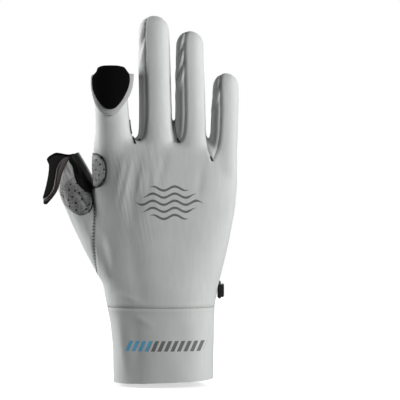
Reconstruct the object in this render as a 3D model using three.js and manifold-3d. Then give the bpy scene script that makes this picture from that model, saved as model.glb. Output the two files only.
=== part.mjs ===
// A right-hand fishing glove for sun protection, in the form it has on a hand.
// Thin knit fabric on the back, a perforated palm, a plain cuff, and finger caps
// that fold back from the index finger and the thumb.
//
// Millimetres. +Z runs from the wrist opening to the fingertips, +X to the little
// finger, -Y to the back of the hand. The origin is the centre of the wrist opening.

import * as THREE from 'three';
import { mergeVertices } from 'three/addons/utils/BufferGeometryUtils.js';
import Module from 'manifold-3d';

const wasm = await Module();
wasm.setup();

// Cloth
const knitWall = 1.2;
const cuffWall = 1.6;
const seamGap = 0.3;
const patchWall = 1.0;
const liningWall = 1.0;
const layerGap = 0.3;

// Cuff and wrist
const cuffHeight = 48.5;
const cuffWidth = 66;
const cuffDepth = 46;
const wristFlare = 5;
const wristWidth = cuffWidth + wristFlare;
const wristDepth = 43;
const wristShift = -1.8;
const hemTilt = 2.2;

// Hand
const palmHeight = 107;
const palmDepth = 27;
const palmBulge = 2.5;
const handShift = 2.9;
const thumbSideAllowance = 3;
const knuckleDrop = 10;
const knuckleSetback = 9;
const fingerCurl = 8;
const crotchDepth = 16;
const seamSetForward = 3.5;
const seamSweep = 18;

// Fingers from the thumb side, each with its own sizes. `gapAfter` is the space to the
// next finger, `flare` how far the root spreads to meet its neighbours, `drop` how far
// its crotch lies below the highest one, `lean` how far the tip stands to +X, and
// `seam` how far the seam on the finger's back lies from its middle line.
const fingers = [
  { name: 'index', width: 22.4, depth: 18.6, length: 51, gapAfter: 4.8, flare: 2.6, drop: 0, lean: -3.4, seam: 0, open: true },
  { name: 'middle', width: 22.0, depth: 18.0, length: 84, gapAfter: 1.6, flare: 2.2, drop: 0, lean: -1.6, seam: 6.5, open: false },
  { name: 'ring', width: 20.2, depth: 17.0, length: 74, gapAfter: 2.2, flare: 1.6, drop: 0, lean: -0.4, seam: 3.0, open: false },
  { name: 'little', width: 18.7, depth: 15.6, length: 58, gapAfter: 0, flare: 0.6, drop: 12, lean: 1.6, seam: 2.5, open: false },
];

// Thumb, a tube from inside the heel of the hand to its own opening
const thumbLength = 90;
const thumbWidth = 25;
const thumbDepth = 23;
const thumbSplay = THREE.MathUtils.degToRad(24.3);
const thumbInset = 14.7;
const thumbRise = 19;
const thumbForward = 5;

// Folded-back caps
const indexCap = { length: 36.5, width: 28.4, thickness: 2.6, rim: 1.8, tipRim: 5.4 };
const thumbCap = { length: 36, width: 20.5, thickness: 3.4, rim: 1.4, tipRim: 1.8 };
const thumbCapTurn = THREE.MathUtils.degToRad(58);
const thumbCapOpen = THREE.MathUtils.degToRad(42);
const thumbCapSlide = 3;
const thumbCapLift = 5.5;

// Patches, perforations and the pull strap
const indexPatchHeight = 22;
const indexPatchReach = 16.5;
const indexPatchRise = 89;
const strapWidth = 8.5;
const strapThickness = 1.2;
const strapLength = 14;
const strapRise = 10;
const tabLength = 10.5;
const tabWidth = 12;
const tabThickness = 2.0;
const tabStart = 0.85;

// Roundness of closed ends, facets, the least step between rings, and the reach of
// cutting solids
const palmRound = 0.45;
const tipRound = 0.98;
const tipBlunt = 0.12;
const ringStep = 0.01;
const palmSides = 28;
const fingerSides = 16;
const domeSteps = 3;
const reach = 300;

const palmTop = cuffHeight + palmHeight;
const smooth = (t) => t * t * (3 - 2 * t);
const clamp01 = (t) => Math.min(1, Math.max(0, t));
const mix = THREE.MathUtils.lerp;

// The row of `table` at a share `key`, with every column interpolated.
function rowAt(table, key, share) {
  const next = Math.max(1, table.findIndex((row) => row[key] >= share));
  const [a, b] = [table[next - 1], table[next]];
  const t = clamp01((share - a[key]) / (b[key] - a[key]));
  return Object.fromEntries(Object.keys(a).map((column) => [column, mix(a[column], b[column], t)]));
}

const longest = Math.max(...fingers.map((finger) => finger.length));

// Centre line of the hand seen from the side: back towards the knuckles, then forward.
function spineY(z) {
  const up = clamp01(z / palmTop);
  const curl = Math.max(0, z - palmTop) / longest;
  return -knuckleSetback * smooth(up) + fingerCurl * curl * curl;
}

// The seam between the back and the palm side lies this far towards the palm.
const seamY = (z) => spineY(z) + seamSetForward;

// Finger centres side by side, worked out from widths and gaps.
const knuckleSpan = fingers.reduce((sum, finger) => sum + finger.width + finger.gapAfter, 0);
const knuckleLeft = handShift - knuckleSpan / 2;
fingers.reduce((left, finger) => {
  finger.centre = left + finger.width / 2;
  return left + finger.width + finger.gapAfter;
}, knuckleLeft);
const palmWidth = knuckleSpan + thumbSideAllowance;
const palmShift = handShift - thumbSideAllowance / 2;

const fingerCrotch = (finger) => palmTop - finger.drop;
const fingerTop = (finger) => fingerCrotch(finger) + finger.length;
const fingerX = (finger, z) => finger.centre + (finger.lean * (z - fingerCrotch(finger))) / finger.length;

// One ring of a tube: a superellipse in the plane of `side` and `front`.
function ring(centre, halfWidth, halfDepth, sides, power = 2.3, side = null, front = null) {
  const along = side ?? new THREE.Vector3(1, 0, 0);
  const across = front ?? new THREE.Vector3(0, 1, 0);
  const bend = (v) => Math.sign(v) * Math.abs(v) ** (2 / power);
  return Array.from({ length: sides }, (_, k) => {
    const angle = (2 * Math.PI * k) / sides;
    return centre
      .clone()
      .addScaledVector(along, halfWidth * bend(Math.cos(angle)))
      .addScaledVector(across, halfDepth * bend(Math.sin(angle)));
  });
}

function geometryFrom(points, triangles) {
  const geometry = new THREE.BufferGeometry();
  geometry.setAttribute('position', new THREE.Float32BufferAttribute(points.flatMap((p) => p.toArray()), 3));
  geometry.setIndex(triangles);
  return geometry;
}

// A closed tube through rings of one size, ended by flat fans.
function loft(rings) {
  const count = rings[0].length;
  const points = rings.flat();
  const triangles = [];
  for (let row = 0; row + 1 < rings.length; row += 1) {
    for (let k = 0; k < count; k += 1) {
      const [a, b] = [row * count + k, row * count + ((k + 1) % count)];
      triangles.push(a, b, b + count, a, b + count, a + count);
    }
  }
  const middle = (part) => part.reduce((sum, p) => sum.add(p), new THREE.Vector3()).divideScalar(count);
  const last = (rings.length - 1) * count;
  points.push(middle(rings[0]), middle(rings.at(-1)));
  for (let k = 0; k < count; k += 1) {
    const next = (k + 1) % count;
    triangles.push(points.length - 2, next, k, points.length - 1, last + k, last + next);
  }
  return geometryFrom(points, triangles);
}

// A closed sheet over a grid of points, thickened along each point's normal.
function slab(rows, normals, thickness) {
  const [height, width] = [rows.length, rows[0].length];
  const under = rows.flat();
  const over = under.map((p, k) => p.clone().addScaledVector(normals.flat()[k], thickness));
  const triangles = [];
  const quad = (a, b, c, d) => triangles.push(a, b, c, a, c, d);
  const lift = under.length;
  for (let r = 0; r + 1 < height; r += 1) {
    for (let c = 0; c + 1 < width; c += 1) {
      const a = r * width + c;
      quad(a, a + 1, a + width + 1, a + width);
      quad(a + lift, a + width + lift, a + width + 1 + lift, a + 1 + lift);
    }
  }
  const edge = [
    ...Array.from({ length: width }, (_, c) => c),
    ...Array.from({ length: height - 1 }, (_, r) => (r + 2) * width - 1),
    ...Array.from({ length: width - 1 }, (_, c) => height * width - 2 - c),
    ...Array.from({ length: height - 2 }, (_, r) => (height - 2 - r) * width),
  ];
  edge.forEach((a, k) => {
    const b = edge[(k + 1) % edge.length];
    quad(b, a, a + lift, b + lift);
  });
  return geometryFrom([...under, ...over], triangles);
}

function solidFrom(geometry) {
  const bare = geometry.clone();
  bare.deleteAttribute('normal');
  bare.deleteAttribute('uv');
  const merged = mergeVertices(bare, 1e-4);
  return new wasm.Manifold(
    new wasm.Mesh({
      numProp: 3,
      vertProperties: new Float32Array(merged.attributes.position.array),
      triVerts: new Uint32Array(merged.index.array),
    }),
  );
}

function geometryOf(solid) {
  const mesh = solid.getMesh();
  const geometry = new THREE.BufferGeometry();
  geometry.setAttribute('position', new THREE.BufferAttribute(new Float32Array(mesh.vertProperties), 3));
  geometry.setIndex(new THREE.BufferAttribute(new Uint32Array(mesh.triVerts), 1));
  return geometry;
}

const join = (solids) => solids.reduce((all, solid) => all.add(solid));

// An outline extruded through the whole glove. In 'front' it is drawn in X and Z and
// runs from `start` to `end` in Y; in 'side' it is drawn in Y and Z and runs along X.
function prism(outline, view, start = -reach, end = reach) {
  const shape = new THREE.Shape(outline.map(([a, b]) => new THREE.Vector2(a, b)));
  const geometry = new THREE.ExtrudeGeometry(shape, { depth: end - start, bevelEnabled: false });
  const [x, y, z] = [new THREE.Vector3(1, 0, 0), new THREE.Vector3(0, 1, 0), new THREE.Vector3(0, 0, 1)];
  const turn = new THREE.Matrix4();
  if (view === 'front') turn.makeBasis(x, z, y.negate()).setPosition(0, end, 0);
  else turn.makeBasis(y, z, x).setPosition(start, 0, 0);
  return solidFrom(geometry.applyMatrix4(turn));
}

// Rounded end of a tube: rings that shrink by `radius` over the same height.
function dome(centreAt, halfWidth, halfDepth, z, radius, sides) {
  return Array.from({ length: domeSteps }, (_, k) => {
    const angle = (Math.PI / 2) * ((k + 1) / (domeSteps + palmRound));
    const inset = radius * (1 - Math.cos(angle));
    const height = z + radius * Math.sin(angle);
    const flatten = 1 - (inset / radius) * (1 - tipBlunt);
    return ring(centreAt(height), Math.max(halfWidth - inset, halfWidth * tipBlunt), halfDepth * flatten, sides);
  });
}

// Palm rows from the cuff seam (up 0) to the knuckles: how far the width has grown
// from wrist to palm, the same for the depth, and for the shift to the palm side.
const palmRows = [
  { up: 0.0, widen: 0.0, shift: 0.0, thin: 0.0, bulge: 0.0 },
  { up: 0.1, widen: 0.13, shift: 0.0, thin: 0.15, bulge: 0.25 },
  { up: 0.22, widen: 0.36, shift: 0.05, thin: 0.35, bulge: 0.6 },
  { up: 0.42, widen: 0.68, shift: 0.4, thin: 0.6, bulge: 1.0 },
  { up: 0.62, widen: 0.9, shift: 0.8, thin: 0.8, bulge: 1.0 },
  { up: 0.78, widen: 0.98, shift: 1.0, thin: 0.93, bulge: 0.8 },
  { up: 0.88, widen: 1.0, shift: 1.0, thin: 1.1, bulge: 0.5 },
  { up: 0.955, widen: 0.97, shift: 1.0, thin: 1.35, bulge: 0.15 },
];

function palmSection(up) {
  const row = rowAt(palmRows, 'up', up);
  return {
    halfWidth: mix(wristWidth, palmWidth, row.widen) / 2,
    halfDepth: mix(wristDepth, palmDepth, row.thin) / 2,
    x: mix(wristShift, palmShift, row.shift),
    bulge: palmBulge * row.bulge,
  };
}

// The palm tube, grown outwards by `grow`. Its rings tilt towards the knuckle line.
function palmForm(grow, bottom) {
  const tilt = (point, up) => {
    const drop = (knuckleDrop * smooth(up) * (point.x - palmShift)) / palmWidth;
    return point.clone().setZ(point.z - drop);
  };
  const rings = palmRows.map(({ up }) => {
    const section = palmSection(up);
    const z = up === 0 ? bottom : cuffHeight + palmHeight * up;
    const centre = new THREE.Vector3(section.x, spineY(z) + section.bulge, z);
    const flat = ring(centre, section.halfWidth + grow, section.halfDepth + grow, palmSides, 2.4);
    return flat.map((point) => tilt(point, up));
  });
  const last = palmRows.at(-1).up;
  const top = palmSection(last);
  const closing = dome(
    (z) => new THREE.Vector3(top.x, spineY(z) + top.bulge, z),
    top.halfWidth + grow,
    top.halfDepth + grow,
    cuffHeight + palmHeight * last,
    top.halfDepth * palmRound + grow,
    palmSides,
  );
  return solidFrom(loft([...rings, ...closing.map((part) => part.map((point) => tilt(point, 1)))]));
}

// Finger rows from the root, inside the palm, to the start of the tip. `flare` is the
// share of the root's spread, and `wide` the share of the finger's width.
const fingerRows = [
  { along: -0.34, flare: 0.0, wide: 0.8 },
  { along: -0.1, flare: 1.0, wide: 0.97 },
  { along: 0.0, flare: 0.8, wide: 1.0 },
  { along: 0.08, flare: 0.3, wide: 1.0 },
  { along: 0.18, flare: 0.06, wide: 1.0 },
  { along: 0.42, flare: 0.0, wide: 0.97 },
  { along: 0.7, flare: 0.0, wide: 0.94 },
  { along: 1.0, flare: 0.0, wide: 0.9 },
];

function fingerForm(finger, grow, overrun) {
  const centreAt = (z) => new THREE.Vector3(fingerX(finger, z), spineY(z), z);
  const tip = (finger.width / 2) * tipRound;
  const end = finger.open ? fingerTop(finger) : fingerTop(finger) - tip;
  const start = fingerCrotch(finger);
  const sizes = (row) => [
    (finger.width / 2) * row.wide + finger.flare * row.flare + grow,
    (finger.depth / 2) * row.wide + (finger.flare * row.flare) / 2 + grow,
  ];
  const rings = fingerRows.map((row) => {
    const rooted = row.along < 0 ? row.along * crotchDepth * 3 : row.along * (end - start);
    return ring(centreAt(start + rooted), ...sizes(row), fingerSides);
  });
  if (finger.open) return solidFrom(loft([...rings, ring(centreAt(end + overrun), ...sizes(fingerRows.at(-1)), fingerSides)]));
  return solidFrom(loft([...rings, ...dome(centreAt, ...sizes(fingerRows.at(-1)), end, tip + grow, fingerSides)]));
}

// The thumb's own directions: along it, towards the nail, and across the nail.
const thumbAxis = new THREE.Vector3(-Math.sin(thumbSplay), 0, Math.cos(thumbSplay));
const nailWay = new THREE.Vector3(-Math.sin(thumbCapTurn), -Math.cos(thumbCapTurn), 0);
nailWay.addScaledVector(thumbAxis, -nailWay.dot(thumbAxis)).normalize();
const nailAcross = new THREE.Vector3().crossVectors(thumbAxis, nailWay);

const thumbRows = [
  { along: -0.06, wide: 0.6, deep: 1.0, forward: 0.0 },
  { along: 0.0, wide: 0.76, deep: 1.2, forward: 0.1 },
  { along: 0.27, wide: 0.95, deep: 1.36, forward: 0.6 },
  { along: 0.49, wide: 1.0, deep: 1.18, forward: 1.0 },
  { along: 0.71, wide: 0.95, deep: 1.0, forward: 1.2 },
  { along: 0.86, wide: 0.84, deep: 0.86, forward: 1.3 },
  { along: 1.0, wide: 0.73, deep: 0.76, forward: 1.35 },
];

const thumbBase = new THREE.Vector3(palmShift - palmWidth / 2 + thumbInset, spineY(cuffHeight), cuffHeight + thumbRise);

function thumbCentre(along) {
  const row = rowAt(thumbRows, 'along', clamp01(along));
  const point = thumbBase.clone().addScaledVector(thumbAxis, along * thumbLength);
  return point.add(new THREE.Vector3(0, row.forward * thumbForward, 0));
}

function thumbForm(grow, overrun) {
  const side = new THREE.Vector3(0, 1, 0).cross(thumbAxis);
  const front = new THREE.Vector3(0, 1, 0);
  const section = (row, centre) => {
    const halfWidth = (thumbWidth / 2) * row.wide + grow;
    const halfDepth = (thumbDepth / 2) * row.deep + grow;
    return ring(centre, halfWidth, halfDepth, fingerSides, 2.1, side, front);
  };
  const rings = thumbRows.map((row) => section(row, thumbCentre(row.along)));
  const end = thumbCentre(1).addScaledVector(thumbAxis, overrun);
  return solidFrom(loft([...rings, section(thumbRows.at(-1), end)]));
}

// The whole hand above the cuff seam, grown outwards by `grow`.
function handForm(grow, bottom, overrun) {
  return join([palmForm(grow, bottom), thumbForm(grow, overrun), ...fingers.map((f) => fingerForm(f, grow, overrun))]);
}

const handBottom = cuffHeight + seamGap;
const handShell = handForm(0, handBottom, ringStep).subtract(handForm(-knitWall, handBottom - knitWall, knitWall));

// Everything on the palm side of the long seam, let out by `grow`.
function palmSide(grow) {
  const steps = 14;
  const height = palmTop + longest + reach / 10;
  const line = Array.from({ length: steps + 1 }, (_, k) => (height * k) / steps);
  const edge = line.map((z) => [seamY(z) - grow, z]);
  return prism([[reach, 0], [reach, height], ...edge.reverse()], 'side');
}

// Seam lines drawn from the front. `inward` is a share of the palm's width from its
// thumb side, and `up` a share of the palm's height above the cuff.
const palmLeft = palmShift - palmWidth / 2;
const palmAt = ({ inward, up }) => [palmLeft + inward * palmWidth, cuffHeight + up * palmHeight];

// The seam between the palm and the perforated heel of the thumb
const heelSeam = [
  { inward: 0.43, up: -0.06 },
  { inward: 0.425, up: 0.14 },
  { inward: 0.41, up: 0.28 },
  { inward: 0.38, up: 0.42 },
  { inward: 0.325, up: 0.52 },
  { inward: 0.23, up: 0.61 },
  { inward: 0.13, up: 0.68 },
  { inward: 0.0, up: 0.735 },
  { inward: 0.0, up: 1.3 },
];

// Where perforated cloth ends and plain knit begins on the palm side of the thumb
const knitEdge = [
  { inward: 0.275, up: -0.06 },
  { inward: 0.214, up: 0.19 },
  { inward: 0.14, up: 0.29 },
  { inward: 0.06, up: 0.38 },
  { inward: -0.03, up: 0.48 },
  { inward: -0.16, up: 0.6 },
  { inward: -0.27, up: 0.83 },
  { inward: -0.46, up: 1.2 },
];

// The seam between the knit thumb and the back of the hand, and its end on the heel
const thumbSeam = [
  { inward: -0.2, up: 0.2 },
  { inward: 0.03, up: 0.2 },
  { inward: 0.008, up: 0.42 },
  { inward: 0.012, up: 0.6 },
  { inward: -0.01, up: 0.74 },
  { inward: -0.01, up: 1.1 },
];
const heelEnd = [
  { inward: -0.2, up: 0.2 },
  { inward: 0.02, up: 0.2 },
  { inward: 0.3, up: 0.02 },
  { inward: 0.3, up: 1.1 },
];

// A drawn line moved to its right-hand side by `grow`, with mitred corners.
function letOut(line, grow) {
  const points = line.map(([x, z]) => new THREE.Vector2(x, z));
  const normals = points.slice(1).map((point, k) => {
    const edge = point.clone().sub(points[k]).normalize();
    return new THREE.Vector2(edge.y, -edge.x);
  });
  return points.map((point, k) => {
    const [a, b] = [normals[Math.max(0, k - 1)], normals[Math.min(k, normals.length - 1)]];
    const mitre = a.clone().add(b).normalize();
    return point.addScaledVector(mitre, grow / mitre.dot(a)).toArray();
  });
}

// The strip on the near side of finger `b`, seen from the front. Its seam climbs from
// the crotch to the finger's back and bends away again at the tip.
const sweepShares = [0, 0.2, 0.45, 0.7, 1];

function gussetStrip(a, b, grow) {
  const floor = Math.min(fingerCrotch(a), fingerCrotch(b)) - seamSweep / 6;
  const top = fingerTop(b) + knitWall;
  const between = (z) => (fingerX(a, z) + a.width / 2 + fingerX(b, z) - b.width / 2) / 2;
  const seamAt = (z, share) => [mix(between(z), fingerX(b, z) - b.seam, smooth(share)), z];
  const rising = sweepShares.map((share) => seamAt(floor + share * seamSweep, share));
  const bending = sweepShares.map((share) => seamAt(top - (1 - share) * seamSweep, 1 - share));
  const seam = letOut([...rising, ...bending], grow);
  return prism([...seam, [between(top) - grow, top], [between(floor) - grow, floor - grow]], 'front', -reach, reach);
}

// The thumb's side of a seam line, let out by `grow`.
function thumbSideOf(line, grow = 0) {
  const points = letOut(line.map(palmAt), grow);
  return prism([...points, [-reach, points.at(-1)[1]], [-reach, points[0][1]]], 'front');
}

// Perforated cloth in two panels, and the knit that is left
const palmHalf = palmSide(0);
const perforated = handShell.intersect(palmHalf).subtract(thumbSideOf(knitEdge));
const palmPanel = perforated.subtract(thumbSideOf(heelSeam, seamGap).add(thumbForm(seamGap, 0)));
const heelPanel = perforated.intersect(thumbSideOf(heelSeam));
const knit = handShell.subtract(palmSide(seamGap).subtract(thumbSideOf(knitEdge, -seamGap)));

// The knit thumb lies on both sides of the long seam.
const thumbZone = (grow) =>
  thumbSideOf(thumbSeam, grow).subtract(palmSide(-seamGap)).add(thumbSideOf(heelEnd, grow).intersect(palmHalf));
const thumbPanel = knit.intersect(thumbZone(0));

const crotches = fingers.slice(1).map((finger, k) => [fingers[k], finger]);
const gussets = crotches.map(([a, b]) => [`gusset_${a.name}_${b.name}`, knit.intersect(gussetStrip(a, b, 0))]);
const backPanel = knit.subtract(join([thumbZone(seamGap), ...crotches.map(([a, b]) => gussetStrip(a, b, seamGap))]));

// The cuff, a tube that meets the hand at the wrist seam. Its hem tilts a little.
const cuffRows = [
  { up: 0.0, widen: 0.0 },
  { up: 0.45, widen: 0.12 },
  { up: 0.8, widen: 0.55 },
  { up: 1.0, widen: 1.0 },
];

function cuffForm(grow, overrun) {
  const rings = cuffRows.map(({ up, widen }) => {
    const z = cuffHeight * up + (up === 0 ? -overrun : 0) + (up === 1 ? overrun : 0);
    const halfWidth = mix(cuffWidth, wristWidth, widen) / 2 + grow;
    const halfDepth = mix(cuffDepth, wristDepth, widen) / 2 + grow;
    const centre = new THREE.Vector3(wristShift * widen, spineY(cuffHeight * up), z);
    const flat = ring(centre, halfWidth, halfDepth, palmSides, 2.4);
    return flat.map((point) => point.setZ(point.z + (hemTilt * (1 - up) * point.x) / cuffWidth));
  });
  return solidFrom(loft(rings));
}
const cuff = cuffForm(0, 0).subtract(cuffForm(-cuffWall, seamGap));

// Patches lie on the cloth as skins of the grown thumb, palm and index finger.
const clothTop = handForm(layerGap, handBottom, layerGap);
const patchTop = layerGap + patchWall;
const thumbSkin = thumbForm(patchTop, 0).subtract(clothTop);
const indexSkin = palmForm(patchTop, handBottom)
  .add(fingerForm(fingers[0], patchTop, 0))
  .subtract(clothTop.add(thumbForm(patchTop + layerGap, 0)));
const arc = (steps, place) => Array.from({ length: steps }, (_, k) => place((2 * Math.PI * k) / steps));

// The oval patch that wraps round the root of the index finger
const patchZ = cuffHeight + indexPatchRise;
const indexPatchOutline = arc(24, (angle) => [
  spineY(patchZ) + (indexPatchReach / 2) * Math.cos(angle),
  patchZ + (indexPatchHeight / 2) * Math.sin(angle),
]);
const indexPatch = indexSkin.intersect(prism(indexPatchOutline, 'side', -reach, palmLeft + palmWidth / 4));

// Outlines drawn on the thumb. `along` is a share of its length, and `out` a share of
// its width from the middle line towards the index finger.
const thumbSide = new THREE.Vector3(Math.cos(thumbSplay), 0, Math.sin(thumbSplay));
function thumbAt({ along, out }) {
  const point = thumbBase.clone().addScaledVector(thumbAxis, along * thumbLength);
  point.addScaledVector(thumbSide, out * thumbWidth);
  return [point.x, point.z];
}

const thumbPatchOutline = [
  { along: 0.944, out: 0.15 },
  { along: 0.9, out: -0.02 },
  { along: 0.845, out: -0.18 },
  { along: 0.78, out: -0.33 },
  { along: 0.72, out: -0.43 },
  { along: 0.632, out: -0.43 },
  { along: 0.558, out: -0.31 },
  { along: 0.513, out: -0.13 },
  { along: 0.513, out: 0.1 },
  { along: 0.56, out: 0.27 },
  { along: 0.63, out: 0.34 },
  { along: 0.68, out: 0.22 },
  { along: 0.777, out: 0.21 },
  { along: 0.872, out: 0.21 },
];
const stretchOutline = [
  { along: 0.955, out: 0.235 },
  { along: 0.87, out: 0.245 },
  { along: 0.774, out: 0.245 },
  { along: 0.69, out: 0.26 },
  { along: 0.64, out: 0.37 },
  { along: 0.66, out: 0.8 },
  { along: 0.955, out: 0.8 },
];
const thumbPatch = thumbSkin.intersect(prism(thumbPatchOutline.map(thumbAt), 'front', -reach, thumbBase.y));
const stretchPanel = thumbSkin.intersect(prism(stretchOutline.map(thumbAt), 'front', -reach, thumbBase.y + thumbDepth * 0.6));

// A cap folded back from a fingertip, in its own frame. `along` runs from the fold to
// the tip, `wide` is a share of the cap's width, and `hug` how far its edges fall
// towards the finger, as a share of that width.
const capRows = [
  { along: 0.0, wide: 0.79, hug: 0.26 },
  { along: 0.08, wide: 0.83, hug: 0.24 },
  { along: 0.15, wide: 1.0, hug: 0.2 },
  { along: 0.34, wide: 1.0, hug: 0.18 },
  { along: 0.52, wide: 0.95, hug: 0.16 },
  { along: 0.68, wide: 0.84, hug: 0.14 },
  { along: 0.82, wide: 0.67, hug: 0.12 },
  { along: 0.93, wide: 0.45, hug: 0.1 },
  { along: 1.0, wide: 0.2, hug: 0.08 },
];

function capSheet(cap, frame, from, inset, tipInset, lift, thickness) {
  const columns = 8;
  const rows = capRows.filter(({ along }) => along >= from);
  const shown = (cap.length - tipInset) / cap.length;
  const points = rows.map(({ along, wide, hug }) => {
    const halfWidth = Math.max((cap.width * wide) / 2 - inset, cap.width * tipBlunt / 2);
    return Array.from({ length: columns + 1 }, (_, c) => {
      const across = halfWidth * ((2 * c) / columns - 1);
      const sag = hug * cap.width * ((2 * across) / cap.width) ** 2;
      return frame.origin
        .clone()
        .addScaledVector(frame.down, along * shown * cap.length)
        .addScaledVector(frame.across, across)
        .addScaledVector(frame.out, lift - sag);
    });
  });
  const normals = points.map((row) => row.map(() => frame.out));
  return solidFrom(slab(points, normals, thickness));
}

// The index cap lies on the back of its finger, from the opening to near the knuckle.
const indexFinger = fingers[0];
function indexBack(z) {
  const row = rowAt(fingerRows, 'along', (z - fingerCrotch(indexFinger)) / indexFinger.length);
  const halfDepth = (indexFinger.depth / 2) * row.wide + (indexFinger.flare * row.flare) / 2;
  return new THREE.Vector3(fingerX(indexFinger, z), spineY(z) - halfDepth - layerGap, z);
}
const indexOrigin = indexBack(fingerTop(indexFinger));
const indexDown = indexBack(fingerTop(indexFinger) - indexCap.length).sub(indexOrigin).normalize();
const indexFrame = {
  origin: indexOrigin,
  down: indexDown,
  across: new THREE.Vector3(1, 0, 0),
  out: new THREE.Vector3().crossVectors(indexDown, new THREE.Vector3(1, 0, 0)).normalize(),
};
const thumbOpening = thumbCentre(1);
const thumbDown = thumbAxis.clone().multiplyScalar(-Math.cos(thumbCapOpen)).addScaledVector(nailWay, Math.sin(thumbCapOpen));
const thumbFrame = {
  origin: thumbOpening.clone().addScaledVector(nailWay, thumbCapLift).addScaledVector(nailAcross, thumbCapSlide),
  down: thumbDown,
  across: nailAcross.clone(),
  out: new THREE.Vector3().crossVectors(thumbDown, nailAcross),
};

const capPieces = (name, cap, frame) => [
  [`${name}_cap`, capSheet(cap, frame, 0.1, 0, 0, 0, cap.thickness).subtract(clothTop)],
  [`${name}_cap_lining`, capSheet(cap, frame, 0, cap.rim, cap.tipRim, cap.thickness + layerGap, liningWall).subtract(clothTop)],
];

// The pull strap at the little-finger side of the wrist, bent towards the palm, and
// the tab sewn to its end
const strapZ = cuffHeight + strapRise;
const strapRoot = palmSection(strapRise / palmHeight);
const strapStart = new THREE.Vector3(strapRoot.x + strapRoot.halfWidth + layerGap, spineY(strapZ), strapZ);
const strapRoute = [
  { out: 0.0, round: 0.0 },
  { out: 0.3, round: 0.08 },
  { out: 0.22, round: 0.85 },
];
const strapBend = new THREE.QuadraticBezierCurve3(
  ...strapRoute.map(({ out, round }) => strapStart.clone().add(new THREE.Vector3(out, round, 0).multiplyScalar(strapLength))),
);

function strip(curve, from, to, width, lift, thickness) {
  const steps = 6;
  const rows = [];
  const normals = [];
  for (let k = 0; k <= steps; k += 1) {
    const at = mix(from, to, k / steps);
    const tangent = curve.getTangent(Math.min(at, 1));
    const past = Math.max(0, at - 1) * curve.getLength();
    const normal = new THREE.Vector3(tangent.y, -tangent.x, 0);
    const point = curve.getPoint(Math.min(at, 1)).addScaledVector(tangent, past).addScaledVector(normal, lift);
    rows.push([-0.5, 0, 0.5].map((share) => point.clone().setZ(point.z + share * width)));
    normals.push([normal, normal, normal]);
  }
  return solidFrom(slab(rows, normals, thickness));
}
const strap = strip(strapBend, 0, 1, strapWidth, 0, strapThickness).subtract(clothTop);
const tab = strip(strapBend, tabStart, tabStart + tabLength / strapLength, tabWidth, -layerGap - tabThickness, tabThickness);

// Materials
const finish = (color, roughness) => new THREE.MeshStandardMaterial({ color, roughness, metalness: 0 });
const knitFinish = finish(0xb9bcba, 0.75);
const perforatedFinish = finish(0x8b8f8c, 0.9);
const blackFinish = finish(0x121313, 0.7);
const strapFinish = finish(0x151615, 0.6);
const tabFinish = finish(0x8d8f8d, 0.5);

const group = new THREE.Group();
group.name = 'fishing_glove';
const place = (name, solid, material) => {
  const mesh = new THREE.Mesh(geometryOf(solid), material);
  mesh.name = name;
  group.add(mesh);
};

place('cuff', cuff, knitFinish);
place('back_panel', backPanel, knitFinish);
place('thumb_panel', thumbPanel, knitFinish);
gussets.forEach(([name, solid]) => place(name, solid, knitFinish));
place('palm_panel', palmPanel, perforatedFinish);
place('heel_panel', heelPanel, perforatedFinish);
place('index_patch', indexPatch, perforatedFinish);
place('thumb_patch', thumbPatch, perforatedFinish);
place('thumb_stretch_panel', stretchPanel, blackFinish);
[...capPieces('index', indexCap, indexFrame), ...capPieces('thumb', thumbCap, thumbFrame)].forEach(([name, solid]) =>
  place(name, solid, name.endsWith('lining') ? blackFinish : knitFinish),
);
place('pull_strap', strap, strapFinish);
place('pull_tab', tab, tabFinish);

export default group;
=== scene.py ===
import math
import bpy
import bmesh
import numpy as np
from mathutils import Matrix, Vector
from mathutils.bvhtree import BVHTree


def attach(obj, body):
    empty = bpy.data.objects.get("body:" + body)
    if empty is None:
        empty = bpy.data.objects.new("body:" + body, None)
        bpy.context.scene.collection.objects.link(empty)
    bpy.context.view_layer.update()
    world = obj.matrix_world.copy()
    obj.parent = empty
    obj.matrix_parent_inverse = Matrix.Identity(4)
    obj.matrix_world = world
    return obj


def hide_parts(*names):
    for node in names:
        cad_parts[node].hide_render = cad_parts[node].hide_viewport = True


# A right-hand fishing glove in the form that it has on a hand. Shapes are worked out in
# millimetres, in the frame of the solids, and every mesh is written in metres.

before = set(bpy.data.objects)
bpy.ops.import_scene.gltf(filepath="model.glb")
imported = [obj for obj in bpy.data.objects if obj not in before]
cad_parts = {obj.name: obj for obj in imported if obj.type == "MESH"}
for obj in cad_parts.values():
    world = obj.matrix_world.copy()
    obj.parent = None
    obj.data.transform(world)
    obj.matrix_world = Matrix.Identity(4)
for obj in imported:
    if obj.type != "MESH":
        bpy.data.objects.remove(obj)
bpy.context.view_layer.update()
mm = 0.001

# photograph's view
view = {
    "pixel": 0.66,          # millimetres on the hand for a pixel of the 400 x 400 picture
    "zeroColumn": 163.5,    # picture column of the wrist's middle
    "hemRow": 379.2,        # picture row of the hem
    "centre": 200,
    "distance": 1000,
    "sensor": 36,
}


def fromPicture(column, row):
    return (column - view["zeroColumn"]) * view["pixel"], (view["hemRow"] - row) * view["pixel"]


def lookAlong(column, row):
    # from the camera through a point of the picture, in millimetres
    x, z = fromPicture(view["centre"], view["centre"])
    start = np.array([x, -view["distance"], z])
    x, z = fromPicture(column, row)
    return start, np.array([x, 0, z]) - start


def makeCamera():
    x, z = fromPicture(view["centre"], view["centre"])
    data = bpy.data.cameras.new("camera")
    data.sensor_width = view["sensor"]
    data.lens = view["sensor"] * view["distance"] / (2 * view["centre"] * view["pixel"])
    data.clip_start, data.clip_end = 0.02, 20
    camera = bpy.data.objects.new("camera", data)
    camera.location = (x * mm, -view["distance"] * mm, z * mm)
    camera.rotation_euler = (math.pi / 2, 0, 0)
    bpy.context.scene.collection.objects.link(camera)
    bpy.context.scene.camera = camera


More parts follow.
